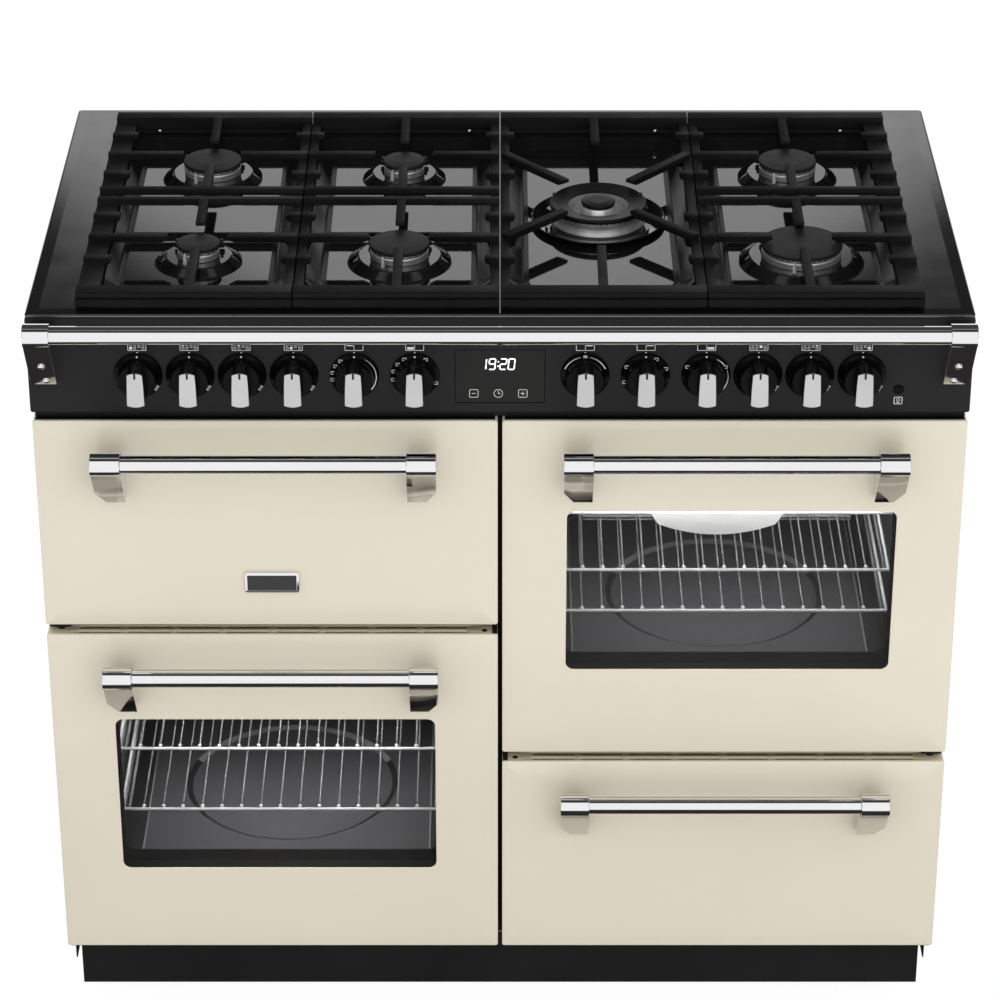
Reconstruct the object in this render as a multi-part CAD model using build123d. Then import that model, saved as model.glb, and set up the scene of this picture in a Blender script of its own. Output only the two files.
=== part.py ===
from build123d import *
import os
from math import asin, atan2, cos, degrees, hypot, radians, sin

# Driving dimensions in millimetres.
# The cooker stands on z = 0, its doors face -Y, and "from_front" lengths run back from the hob's front edge.

# Hob
WIDTH = 1000.0
HOB_DEPTH = 562.0
HOB_HEIGHT = 905.0
HOB_SHEET = 2.0
HOB_SKIRT = 16.0
HOB_LIP = 3.0
COLUMN_PITCH = 218.7
ROW_FRONT = 158.5
ROW_REAR = 176.5
WELL_WIDTH = 200.0
WELL_FRONT = 64.0
WELL_REAR = 80.0
WELL_DEPTH = 12.0
WELL_SLOPE = 16.0
WELL_CORNER = 34.0

# Burners
CAP_SMALL = 24.0
CAP_MEDIUM = 33.0
CAP_LARGE = 44.5
CAP_THICKNESS = 5.2
CAP_TOP = 12.2
BOSS_HEIGHT = 8.0
BOSS_SLOPE = 11.0
FLANGE_MARGIN = 12.0
FLANGE_THICKNESS = 2.0
PORT_PITCH = 7.0
PORT_WIDTH = 1.6
PORT_DEPTH = 3.0
WOK_RING_OUTER = 54.0
WOK_RING_INNER = 33.0
WOK_CENTRE_CAP = 20.0
WOK_RING_RIM = 1.6
WOK_CENTRE_LIFT = 2.0
WOK_SEAT = 2.0
WOK_DISH = 75.0
WOK_DISH_LIP = 4.0
WOK_FORWARD = 6.0
ELECTRODE_RADIUS = 1.6
ELECTRODE_CERAMIC = 3.2
ELECTRODE_MARGIN = 5.5

# Pan supports
GRATE_TOP = 20.0
GRATE_FRONT = 11.0
GRATE_REAR = 55.0
GRATE_GAP = 1.4
GRATE_OVERHANG = 10.0
GRATE_FOOT = 5.0
END_BAR = 20.0
END_BAR_HEIGHT = 14.0
RAIL_WIDTH = 10.0
RAIL_HEIGHT = 12.0
OUTER_RAIL_WIDTH = 24.0
ARM_WIDTH = 10.0
ARM_HEIGHT = 7.4
ARM_TIP_RADIUS = 32.0
WOK_TIP_RADIUS = 54.0
WOK_NEAR_TIP = 134.0
WOK_FAR_TIP = 151.0
LUG_MARGIN = 6.0
LUG_OFFSET = 56.0
MIDDLE_BAR_OFFSET = 14.0

# Fascia, display, knobs and light button
FASCIA_HEIGHT = 111.5
FASCIA_PROUD = 2.0
FASCIA_WALL = 4.0
FASCIA_RETURN = 26.0
FASCIA_CORNER = 3.0
SEAM = 0.5
DISPLAY_WIDTH = 95.0
DISPLAY_HEIGHT = 62.0
DISPLAY_DROP = 72.0
DISPLAY_BACK = 25.0
DISPLAY_MARGIN = 8.0
CONTROL_DROP = 70.0
KNOB_FIRST = 90.0
OVEN_KNOB_PITCH = 64.0
BURNER_KNOB_PITCH = 55.0
SKIRT_RADIUS = 25.0
BARREL_RADIUS = 20.5
KNOB_PROJECTION = 38.0
BARREL_PROJECTION = 17.0
GRIP_WIDTH = 18.0
GRIP_FACE = 2.5
POINTER_WIDTH = 2.2
POINTER_LENGTH = 6.5
SPINDLE_RADIUS = 4.0
SPINDLE_REACH = 26.0
BUTTON_INSET = 77.0
BUTTON_DROP = 87.5
BUTTON_RADIUS = 5.0
BUTTON_TRAVEL = 3.0

# Handrail
HANDRAIL_RADIUS = 10.0
HANDRAIL_REACH = 42.0
HANDRAIL_DROP = 3.5
BRACKET_WIDTH = 28.0
BRACKET_INSET = 3.5
BRACKET_SLEEVE = 12.5
BRACKET_FOOT_DROP = 80.0
BOLT_INSETS = (11.5, 14.5)
BOLT_DROPS = (43.5, 59.5)
BOLT_RADIUS = 4.4
BOLT_HEIGHT = 2.2

# Doors
DOOR_SIDE_REVEAL = 1.9
DOOR_CENTRE_GAP = 4.8
DOOR_FLOOR_GAP = 102.7
DOOR_ROW_GAP = 12.5
FASCIA_TO_DOOR = 7.0
SHORT_DOOR_SHARE = 0.3763
DOOR_PROUD = 6.2
DOOR_BEVEL = 27.0
DOOR_CROWN = 4.0
DOOR_CORNER = 5.0
DOOR_WALL = 1.5
SKIN_DEPTH = 24.0
SKIN_FLANGE = 18.0
LINER_DEPTH = 12.2
LINER_INSET = 10.0
WINDOW_SIDE = 69.85
WINDOW_MARGIN = 108.8
WINDOW_CORNER = 9.0
PANE_LAP = 12.0
PANE_THICKNESS = 4.0
VENT_SLOT_LENGTH = 44.0
VENT_SLOT_WIDTH = 3.0
VENT_PITCH = 51.0
VENT_ROW_FRONT = 6.5
VENT_ROW_PITCH = 7.5
VENT_COUNT = 8

# Door handles
HANDLE_SIDE = 64.85
HANDLE_RADIUS = 10.0
HANDLE_STANDOFF = 44.0
HANDLE_DROP = 28.0
HANDLE_CAP_RADIUS = 12.5
HANDLE_CAP_LENGTH = 32.0
HANDLE_POST_SHY = 0.6
HANDLE_FOOT_DROP = 61.0
HANDLE_FOOT_HEIGHT = 36.0
HANDLE_FOOT_CUT = (11.0, 7.0)

# Bare badge plate on the top left door
BADGE_WIDTH = 59.0
BADGE_HEIGHT = 22.0
BADGE_THICKNESS = 3.0
BADGE_CORNER = 2.0
BADGE_RISE = 47.0
BADGE_ACROSS = 22.5

# Hinges
PIVOT_INSET = 15.0
PIVOT_BACK = 14.2
PIN_RADIUS = 4.0
PIN_DEPTH = 12.0
BRACKET_PLATE = 5.0
HINGE_PLATE_WIDTH = 30.0
HINGE_PLATE_CUT = 9.0
HINGE_PLATE_NOSE = 9.0
HINGE_BLOCK = 30.0

# Chassis
SIDE_INSET = 4.5
SHEET = 1.5
FRAME_SHEET = 2.0
FRAME_GAP = 6.0
TOP_RAIL = 5.5
BACK_INSET = 30.0
SIDE_REAR_INSET = 3.0
BASE_DROP = 10.0
SIDE_FLOOR_GAP = 55.0
PLINTH_SETBACK = 46.0
PLINTH_FLOOR_GAP = 12.0
PLINTH_INSET = 10.0
FOOT_RADIUS = 22.0
FOOT_PAD = 10.0
FOOT_STEM = 6.0
FOOT_INSET = 60.0
VENT_LOUVRES = 10
LOUVRE_LENGTH = 220.0
LOUVRE_WIDTH = 5.0
LOUVRE_PITCH = 14.0

# Cavities and what is inside them
CAVITY_SIDE = 57.85
REAR_ROOM = 74.5
CAVITY_SHEET = 1.5
OVEN_TOP = 43.0
OVEN_FOOT = 60.5
SMALL_CAVITY_TOP = 38.0
SMALL_CAVITY_FOOT = 38.3
SEAL_WIDTH = 8.0
SEAL_LAP = 4.0
FLOOR_RING = 127.0
FLOOR_RING_DEPTH = 3.0
LADDER_BAR = 6.0
LADDER_RAIL_WIDTH = 10.0
LADDER_RAIL_HEIGHT = 4.0
LADDER_FRONT = 24.0
LADDER_REAR = 58.0
SHELF_WIRE = 5.0
SHELF_CROSS_WIRE = 3.0
SHELF_CROSS_COUNT = 15
SHELF_FRONT = 12.0
SHELF_REAR = 56.0
SHELF_SHARES_RIGHT = (0.2684, 0.4345)
SHELF_SHARES_LEFT = (0.2684, 0.5304)
TRAY_SHARE = 0.6645
TRAY_DEPTH = 24.0
TRAY_SHEET = 1.2
TRAY_PLATE_WIDTH = 146.0
TRAY_PLATE_SHOULDER = 14.0
TRAY_PLATE_TAPER = 8.5
TRAY_PLATE_HEIGHT = 27.0
FAN_RADIUS = 72.0
FAN_BLADES = 10
FAN_BLADE_DEPTH = 14.0
FAN_COVER_RADIUS = 95.0
FAN_COVER_DEPTH = 28.0
FAN_INTAKE = 46.0
MOTOR_RADIUS = 32.0
MOTOR_LENGTH = 46.0
MOTOR_FLANGE = 46.0
SHAFT_RADIUS = 4.0
ELEMENT_RADIUS = 4.0
ELEMENT_SPAN = 300.0
ELEMENT_LEGS = 6
ELEMENT_DROP = 22.0
ELEMENT_FRONT_GAP = 60.0

# Gas rail, taps, switches and inlets
MANIFOLD = 20.0
MANIFOLD_BACK = 62.0
TAP_RADIUS = 11.0
TAP_FRONT = 14.0
SWITCH_SIZE = 42.0
SWITCH_DEPTH = 30.0
PIPE_RADIUS = 8.0
INLET_RADIUS = 10.48
INLET_LENGTH = 16.0
INLET_INSET = 24.0
GLAND_RADIUS = 13.0
GLAND_BORE = 8.0
GLAND_LENGTH = 20.0
GLAND_INSET = 74.0
GLAND_HEIGHT = 180.0

# Clearances
RUNNING = 0.05
CLEAR = 0.4

# Places worked out from the sizes above

DOOR_FACE = DOOR_PROUD + DOOR_CROWN
FRONT_REACH = DOOR_FACE + HANDLE_STANDOFF + HANDLE_CAP_RADIUS
HOB_FRONT_Y = (FRONT_REACH - HOB_DEPTH) / 2
FASCIA_TOP_DROP = HOB_LIP + SEAM
FASCIA_BOTTOM_DROP = FASCIA_TOP_DROP + FASCIA_HEIGHT
FASCIA_BACK = FASCIA_WALL - FASCIA_PROUD
DOOR_TOP_DROP = FASCIA_BOTTOM_DROP + FASCIA_TO_DOOR
DOOR_BOTTOM_DROP = HOB_HEIGHT - DOOR_FLOOR_GAP
STACK_HEIGHT = DOOR_BOTTOM_DROP - DOOR_TOP_DROP
SHORT_DOOR = SHORT_DOOR_SHARE * (STACK_HEIGHT - DOOR_ROW_GAP)
TALL_DOOR = STACK_HEIGHT - DOOR_ROW_GAP - SHORT_DOOR
DOOR_WIDTH = (WIDTH - DOOR_CENTRE_GAP) / 2 - DOOR_SIDE_REVEAL
WINDOW_WIDTH = DOOR_WIDTH - 2 * WINDOW_SIDE
WINDOW_HEIGHT = TALL_DOOR - 2 * WINDOW_MARGIN
HANDLE_LENGTH = DOOR_WIDTH - 2 * HANDLE_SIDE
SKIN_BACK = SKIN_DEPTH - DOOR_PROUD
DOOR_BACK = SKIN_BACK + LINER_DEPTH
FRAME_FRONT = DOOR_BACK + FRAME_GAP
FRAME_BACK = FRAME_FRONT + FRAME_SHEET
SIDE_OUTER = WIDTH / 2 - SIDE_INSET
SIDE_INNER = SIDE_OUTER - SHEET
BACK_PANEL_REAR = HOB_DEPTH - BACK_INSET
BACK_PANEL_FRONT = BACK_PANEL_REAR - SHEET
CAVITY_BACK = BACK_PANEL_FRONT - REAR_ROOM
CAVITY_DEPTH = CAVITY_BACK - FRAME_BACK
CAVITY_WIDTH = DOOR_WIDTH - 2 * CAVITY_SIDE
OVEN_HEIGHT = TALL_DOOR - OVEN_TOP - OVEN_FOOT
SMALL_CAVITY_HEIGHT = SHORT_DOOR - SMALL_CAVITY_TOP - SMALL_CAVITY_FOOT
DOOR_CENTRE = DOOR_CENTRE_GAP / 2 + DOOR_WIDTH / 2
PIVOT_X = DOOR_CENTRE + DOOR_WIDTH / 2 - PIVOT_INSET
PIVOT_FROM_FRONT = PIVOT_BACK - DOOR_PROUD
BASE_TOP_DROP = DOOR_BOTTOM_DROP + BASE_DROP
LADDER_INNER = CAVITY_WIDTH / 2 - LADDER_BAR - LADDER_RAIL_WIDTH
LADDER_BACK = CAVITY_DEPTH - LADDER_REAR
SHELF_HALF = LADDER_INNER + LADDER_RAIL_WIDTH - CLEAR
SHELF_DEPTH = CAVITY_DEPTH - SHELF_FRONT - SHELF_REAR
SHELF_LEVELS_RIGHT = tuple(share * OVEN_HEIGHT for share in SHELF_SHARES_RIGHT)
SHELF_LEVELS_LEFT = tuple(share * OVEN_HEIGHT for share in SHELF_SHARES_LEFT)
TRAY_LEVEL = TRAY_SHARE * OVEN_HEIGHT
INLET_ACROSS = SIDE_INNER - INLET_INSET
BUTTON_ACROSS = WIDTH / 2 - BUTTON_INSET
GLAND_ACROSS = SIDE_INNER - GLAND_INSET

KNOB_PLACES = [KNOB_FIRST + i * OVEN_KNOB_PITCH for i in range(3)]
KNOB_PLACES += [KNOB_PLACES[2] + i * BURNER_KNOB_PITCH for i in (1, 2, 3)]
KNOB_X = [-x for x in reversed(KNOB_PLACES)] + KNOB_PLACES
OVEN_KNOBS = (5, 6, 7, 8, 9)

COLUMN_X = [(i - 1.5) * COLUMN_PITCH for i in range(4)]
ROW_BACK = HOB_DEPTH - ROW_REAR
WELL_LENGTH = HOB_DEPTH - WELL_FRONT - WELL_REAR
GRATE_BACK = HOB_DEPTH - GRATE_REAR
WOK_FRONT = (ROW_FRONT + ROW_BACK) / 2 - WOK_FORWARD
WOK_FRONT_TIP = WOK_FRONT - WOK_NEAR_TIP
WOK_BACK_TIP = WOK_FRONT + WOK_FAR_TIP
BURNERS = [
    (COLUMN_X[0], ROW_BACK, CAP_MEDIUM),
    (COLUMN_X[0], ROW_FRONT, CAP_SMALL),
    (COLUMN_X[1], ROW_BACK, CAP_SMALL),
    (COLUMN_X[1], ROW_FRONT, CAP_MEDIUM),
    (COLUMN_X[3], ROW_BACK, CAP_MEDIUM),
    (COLUMN_X[3], ROW_FRONT, CAP_LARGE),
]
WOK = (COLUMN_X[2], WOK_FRONT)


def y_at(from_front):
    """Frame Y of a length behind the hob's front edge."""
    return HOB_FRONT_Y + from_front


def z_at(drop):
    """Frame Z of a drop below the hob's rim."""
    return HOB_HEIGHT - drop


def block(x, y, z):
    """Box between pairs of frame coordinates."""
    middle = Pos((x[0] + x[1]) / 2, (y[0] + y[1]) / 2, (z[0] + z[1]) / 2)
    return middle * Box(abs(x[1] - x[0]), abs(y[1] - y[0]), abs(z[1] - z[0]))


def rod_x(radius, x, y, z):
    """Round bar along X between two X values."""
    turn = Pos((x[0] + x[1]) / 2, y, z) * Rot(0, 90, 0)
    return turn * Cylinder(radius, abs(x[1] - x[0]))


def rod_y(radius, x, y, z):
    """Round bar along Y between two Y values."""
    turn = Pos(x, (y[0] + y[1]) / 2, z) * Rot(90, 0, 0)
    return turn * Cylinder(radius, abs(y[1] - y[0]))


def rod_z(radius, x, y, z):
    """Round bar along Z between two Z values."""
    return Pos(x, y, (z[0] + z[1]) / 2) * Cylinder(radius, abs(z[1] - z[0]))


def turned(profile):
    """Solid of revolution about Z from (radius, height) points."""
    outline = Polyline(*[(r, 0, h) for r, h in profile], close=True)
    return revolve(make_face(outline), Axis.Z)


def upright(x, y, z):
    """XZ plane through a point, with its normal towards the viewer."""
    return Plane(origin=(x, y, z), x_dir=(1, 0, 0), z_dir=(0, -1, 0))


def rounded_slab(centre, size, corner, y):
    """Upright rounded plate between a back and a front Y."""
    shape = upright(centre[0], y[0], centre[1]) * RectangleRounded(*size, corner)
    return extrude(shape, y[0] - y[1])


def crown(centre, size, corner, inset, y):
    """Raised front whose border slopes back to the edges by the inset."""
    edge = upright(centre[0], y[0], centre[1]) * RectangleRounded(*size, corner)
    inner = (size[0] - 2 * inset, size[1] - 2 * inset)
    face = upright(centre[0], y[1], centre[1]) * RectangleRounded(*inner, corner)
    return loft([edge.face(), face.face()], ruled=True)


def save(name, *solids):
    """Write one node of one or more separate solids."""
    shape = solids[0] if len(solids) == 1 else Compound(children=list(solids))
    export_step(shape, f"parts/{name}.step")


# Hob


def well(x, lower):
    """Sloped recess of one column, lowered by the sheet's thickness for its underside."""
    centre = Pos(x, y_at(WELL_FRONT + WELL_LENGTH / 2), 0)
    rim = Pos(0, 0, z_at(lower)) * centre * RectangleRounded(WELL_WIDTH, WELL_LENGTH, WELL_CORNER)
    floor_size = (WELL_WIDTH - 2 * WELL_SLOPE, WELL_LENGTH - 2 * WELL_SLOPE)
    floor_corner = max(WELL_CORNER - WELL_SLOPE / 2, WELL_CORNER / 2)
    floor = Pos(0, 0, z_at(WELL_DEPTH + lower)) * centre * RectangleRounded(*floor_size, floor_corner)
    return loft([rim.face(), floor.face()], ruled=True)


def boss(x, row, radius, height):
    """Raised seat that a burner stands on."""
    seat = turned([
        (0, 0),
        (radius + BOSS_SLOPE, 0),
        (radius, height),
        (0, height),
    ])
    return Pos(x, y_at(row), z_at(WELL_DEPTH)) * seat


def hob_tray():
    """Pressed top sheet with four wells, side and back skirts and a short front lip."""
    half = WIDTH / 2
    tray = block((-half, half), (y_at(0), y_at(HOB_DEPTH)), (z_at(HOB_SHEET), z_at(0)))
    skirt_front = y_at(FASCIA_BACK + CLEAR)
    skirt_z = (z_at(HOB_SKIRT), z_at(HOB_SHEET))
    for side in (-1, 1):
        wall = (side * (half - HOB_SHEET), side * half)
        tray += block(wall, (skirt_front, y_at(HOB_DEPTH)), skirt_z)
    tray += block((-half, half), (y_at(HOB_DEPTH - HOB_SHEET), y_at(HOB_DEPTH)), skirt_z)
    tray += block((-half, half), (y_at(0), y_at(HOB_SHEET)), (z_at(HOB_LIP), z_at(HOB_SHEET)))
    for x in COLUMN_X:
        tray += well(x, HOB_SHEET)
    for x in COLUMN_X:
        tray -= well(x, 0)
    for x, row, cap in BURNERS:
        tray += boss(x, row, cap + FLANGE_MARGIN, BOSS_HEIGHT)
    tray += boss(*WOK, WOK_DISH - BOSS_SLOPE, WOK_SEAT)
    return tray


def port_ring(radius, height):
    """Slots round a crown's upper edge, where the flames leave it."""
    count = round(2 * 3.1416 * radius / PORT_PITCH)
    slot = Pos(radius, 0, height) * Box(2 * PORT_DEPTH, PORT_WIDTH, 2 * PORT_DEPTH)
    return [Rot(0, 0, i * 360 / count) * slot for i in range(count)]


def burner_head(cap):
    """Flame spreader below a cap: a wide flange on the boss and a slightly tapered, slotted crown."""
    height = CAP_TOP - CAP_THICKNESS + WELL_DEPTH - BOSS_HEIGHT
    flange = cap + FLANGE_MARGIN
    head = turned([
        (0, 0),
        (flange, 0),
        (flange - 0.5, FLANGE_THICKNESS * 0.6),
        (cap, FLANGE_THICKNESS),
        (cap - 2, height),
        (0, height),
    ])
    return head - port_ring(cap - 2, height)


def burner_cap(radius):
    """Domed lid with a rounded rim."""
    return turned([
        (0, 0),
        (radius - 1, 0),
        (radius, 1.2),
        (radius - 0.6, CAP_THICKNESS - 1.6),
        (radius - 2.5, CAP_THICKNESS - 0.4),
        (0, CAP_THICKNESS),
    ])


def wok_head():
    """Double-crown spreader with a channel between its inner and outer flame rings."""
    height = CAP_TOP - CAP_THICKNESS + WELL_DEPTH - WOK_SEAT
    head = turned([
        (0, 0),
        (WOK_RING_OUTER - 1, 0),
        (WOK_RING_OUTER - 3, height),
        (WOK_RING_INNER + 3, height),
        (WOK_RING_INNER + 2, FLANGE_THICKNESS),
        (WOK_CENTRE_CAP + 8, FLANGE_THICKNESS),
        (WOK_CENTRE_CAP - 2, height + WOK_CENTRE_LIFT),
        (0, height + WOK_CENTRE_LIFT),
    ])
    head -= port_ring(WOK_CENTRE_CAP - 2, height + WOK_CENTRE_LIFT)
    return head - port_ring(WOK_RING_OUTER - 3, height)


def wok_ring_cap():
    """Annular lid of the outer flame ring, dished towards the middle."""
    return turned([
        (WOK_RING_INNER, 0),
        (WOK_RING_OUTER, 0),
        (WOK_RING_OUTER, CAP_THICKNESS - WOK_RING_RIM),
        (WOK_RING_OUTER - WOK_RING_RIM, CAP_THICKNESS),
        (WOK_RING_INNER, WOK_RING_RIM),
    ])


def wok_dish():
    """Bright dished rim round the wok burner."""
    inner = WOK_RING_OUTER - 1
    flat = WOK_DISH - BOSS_SLOPE
    return turned([
        (inner, 0),
        (flat, 0),
        (WOK_DISH, WOK_DISH_LIP),
        (WOK_DISH - 1.5, WOK_DISH_LIP + 0.6),
        (flat - 1, FLANGE_THICKNESS),
        (inner, FLANGE_THICKNESS),
    ])


def on_boss(x, row, height):
    """Place on top of a burner boss."""
    return Pos(x, y_at(row), z_at(WELL_DEPTH - height))


def on_head(x, row):
    """Place on top of a burner head."""
    return Pos(x, y_at(row), z_at(CAP_THICKNESS - CAP_TOP))


def electrode(x, row, height, angle, reach):
    """Ceramic post with its metal tip, beside a burner on a boss of one height."""
    base = on_boss(x + reach * cos(radians(angle)), row + reach * sin(radians(angle)), height)
    tip = WELL_DEPTH - height + CAP_TOP - CAP_THICKNESS - FLANGE_THICKNESS
    shoulder = tip / 2
    return base * Pos(0, 0, FLANGE_THICKNESS) * turned([
        (0, 0),
        (ELECTRODE_CERAMIC, 0),
        (ELECTRODE_CERAMIC, shoulder),
        (ELECTRODE_RADIUS, shoulder + 1),
        (ELECTRODE_RADIUS, tip),
        (0, tip),
    ])


def electrodes():
    """Spark electrode and flame probe of each burner."""
    posts = []
    for x, row, cap in BURNERS:
        posts += [electrode(x, row, BOSS_HEIGHT, angle, cap + ELECTRODE_MARGIN) for angle in (35, 145)]
    reach = WOK_RING_OUTER + ELECTRODE_MARGIN
    posts += [electrode(*WOK, WOK_SEAT, angle, reach) for angle in (35, 145)]
    return posts


# Pan supports


def bar(length, width, top, bottom):
    """Cast bar along X from its left end, narrower at the top than at the bottom."""
    half = width / 2
    profile = Polyline(
        (0, -half, bottom), (0, half, bottom), (0, half - 1, top), (0, 1 - half, top), close=True
    )
    return extrude(make_face(profile), length, dir=(1, 0, 0))


def arm(length, root_length, base):
    """Finger along X: a deep root that stands on its rail or bar, then a thin run to a sloped tip."""
    low = GRATE_TOP - ARM_HEIGHT
    tip = min(ARM_HEIGHT, (length - root_length) / 3)
    profile = Polyline(
        (0, 0, base),
        (root_length, 0, base),
        (root_length + tip / 2, 0, low),
        (length - tip, 0, low),
        (length, 0, GRATE_TOP - ARM_HEIGHT / 2),
        (length - 1, 0, GRATE_TOP),
        (0, 0, GRATE_TOP),
        close=True,
    )
    return extrude(make_face(profile), ARM_WIDTH / 2, dir=(0, 1, 0), both=True)


def support_sides(index):
    """Left and right ends of a support with their rail widths, both wider on the outer sides."""
    left = COLUMN_X[index] - COLUMN_PITCH / 2 + GRATE_GAP / 2
    right = COLUMN_X[index] + COLUMN_PITCH / 2 - GRATE_GAP / 2
    left_rail = right_rail = RAIL_WIDTH
    if index == 0:
        left -= GRATE_OVERHANG
        left_rail = OUTER_RAIL_WIDTH
    if index == len(COLUMN_X) - 1:
        right += GRATE_OVERHANG
        right_rail = OUTER_RAIL_WIDTH
    return (left, left_rail), (right, right_rail)


def support_frame(sides):
    """Low side rails, raised end bars and corner feet of one support."""
    (left, left_rail), (right, right_rail) = sides
    low = GRATE_FOOT - 2
    shape = None
    for from_front in (GRATE_FRONT + END_BAR / 2, GRATE_BACK - END_BAR / 2):
        piece = bar(right - left, END_BAR, GRATE_TOP, GRATE_TOP - END_BAR_HEIGHT)
        piece = Pos(left, y_at(from_front), z_at(0)) * piece
        shape = piece if shape is None else shape + piece
    for span in ((left, left + left_rail), (right - right_rail, right)):
        rail_y = (y_at(GRATE_FRONT + 1), y_at(GRATE_BACK - 1))
        shape += block(span, rail_y, (z_at(-low), z_at(-low - RAIL_HEIGHT)))
        for from_front in (GRATE_FRONT + 1, GRATE_BACK - END_BAR + 1):
            foot_y = (y_at(from_front), y_at(from_front + END_BAR - 2))
            shape += block(span, foot_y, (z_at(0), z_at(-GRATE_FOOT)))
    return shape


def side_arms(sides, from_front, reach_left, reach_right):
    """One pair of arms from the two side rails at a depth."""
    (left, left_rail), (right, right_rail) = sides
    low = GRATE_FOOT
    start = Pos(left, y_at(from_front), z_at(0)) * arm(reach_left, left_rail, low)
    end = Pos(right, y_at(from_front), z_at(0)) * Rot(0, 0, 180) * arm(reach_right, right_rail, low)
    return start + end


def lugs(sides, from_front):
    """Short raised pads on the two side rails at a depth."""
    (_, left_rail), (_, right_rail) = sides
    return side_arms(sides, from_front, left_rail + LUG_MARGIN, right_rail + LUG_MARGIN)


def end_arm(x, bar_from_front, tip_from_front):
    """Arm along Y from the middle of an end or middle bar to its tip."""
    turn = 90 if tip_from_front > bar_from_front else -90
    length = abs(tip_from_front - bar_from_front)
    finger = arm(length, ARM_WIDTH / 2, GRATE_TOP - ARM_HEIGHT)
    return Pos(x, y_at(bar_from_front), z_at(0)) * Rot(0, 0, turn) * finger


def twin_support(index):
    """Support over a column of two burners."""
    centre = COLUMN_X[index]
    sides = support_sides(index)
    left, right = sides[0][0], sides[1][0]
    middle = (ROW_FRONT + ROW_BACK) / 2
    near_bar, far_bar = middle - MIDDLE_BAR_OFFSET, middle + MIDDLE_BAR_OFFSET
    shape = support_frame(sides)
    for from_front in (near_bar, far_bar):
        cross = bar(right - left, ARM_WIDTH, GRATE_TOP, GRATE_TOP - ARM_HEIGHT)
        shape += Pos(left, y_at(from_front), z_at(0)) * cross
    rows = (
        (ROW_FRONT, GRATE_FRONT + END_BAR / 2, near_bar),
        (ROW_BACK, far_bar, GRATE_BACK - END_BAR / 2),
    )
    for row, front_bar, back_bar in rows:
        shape += side_arms(sides, row, centre - ARM_TIP_RADIUS - left, right - centre - ARM_TIP_RADIUS)
        for offset in (-LUG_OFFSET, LUG_OFFSET):
            shape += lugs(sides, row + offset)
        shape += end_arm(centre, front_bar, row - ARM_TIP_RADIUS)
        shape += end_arm(centre, back_bar, row + ARM_TIP_RADIUS)
    return shape


def wok_support(index):
    """Support over the wok burner, with diagonal arms."""
    centre = COLUMN_X[index]
    sides = support_sides(index)
    shape = support_frame(sides)
    for row in (ROW_FRONT, ROW_BACK):
        for offset in (-LUG_OFFSET, LUG_OFFSET):
            shape += lugs(sides, row + offset)
    shape += end_arm(centre, GRATE_FRONT + END_BAR / 2, WOK_FRONT_TIP)
    shape += end_arm(centre, GRATE_BACK - END_BAR / 2, WOK_BACK_TIP)
    for (x, _), inward in zip(sides, (1, -1)):
        start = x + inward * RAIL_WIDTH / 2
        for row in (ROW_FRONT, ROW_BACK):
            run = (centre - start, WOK_FRONT - row)
            turn = degrees(atan2(run[1], run[0]))
            diagonal = arm(hypot(*run) - WOK_TIP_RADIUS, RAIL_WIDTH, GRATE_FOOT)
            shape += Pos(start, y_at(row), z_at(0)) * Rot(0, 0, turn) * diagonal
    return shape


# Fascia and controls


def control_fascia():
    """Folded control panel with its window, spindle holes and button hole."""
    half = WIDTH / 2
    top, bottom = z_at(FASCIA_TOP_DROP), z_at(FASCIA_BOTTOM_DROP)
    centre = (0, (top + bottom) / 2)
    face_y = (y_at(FASCIA_BACK), y_at(-FASCIA_PROUD))
    panel = rounded_slab(centre, (WIDTH, FASCIA_HEIGHT), FASCIA_CORNER, face_y)
    inner = half - SIDE_INSET - SHEET - CLEAR
    fold_y = (y_at(FASCIA_BACK), y_at(FASCIA_RETURN))
    panel += block((-inner, inner), fold_y, (bottom + SEAM, bottom + SEAM + FRAME_SHEET))
    for x in KNOB_X:
        panel -= rod_y(SPINDLE_RADIUS + CLEAR, x, (y_at(-FASCIA_WALL), y_at(FASCIA_WALL)), z_at(CONTROL_DROP))
    panel -= rod_y(
        BUTTON_RADIUS + CLEAR, BUTTON_ACROSS, (y_at(-FASCIA_WALL), y_at(FASCIA_WALL)), z_at(BUTTON_DROP)
    )
    window = (DISPLAY_WIDTH + 2 * CLEAR, DISPLAY_HEIGHT + 2 * CLEAR)
    cut = (y_at(FASCIA_BACK + 1), y_at(-FASCIA_PROUD - 1))
    panel -= rounded_slab((0, z_at(DISPLAY_DROP)), window, 2.0, cut)
    return panel


def clock_display():
    """Glass-fronted clock that fills the fascia window and clips behind it."""
    centre = (0, z_at(DISPLAY_DROP))
    front = (y_at(FASCIA_BACK), y_at(-FASCIA_PROUD + CLEAR))
    glass = rounded_slab(centre, (DISPLAY_WIDTH, DISPLAY_HEIGHT), 1.6, front)
    size = (DISPLAY_WIDTH + 2 * DISPLAY_MARGIN, DISPLAY_HEIGHT + 2 * DISPLAY_MARGIN)
    case = rounded_slab(centre, size, 3.0, (y_at(FASCIA_BACK + DISPLAY_BACK), y_at(FASCIA_BACK)))
    return glass + case


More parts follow.
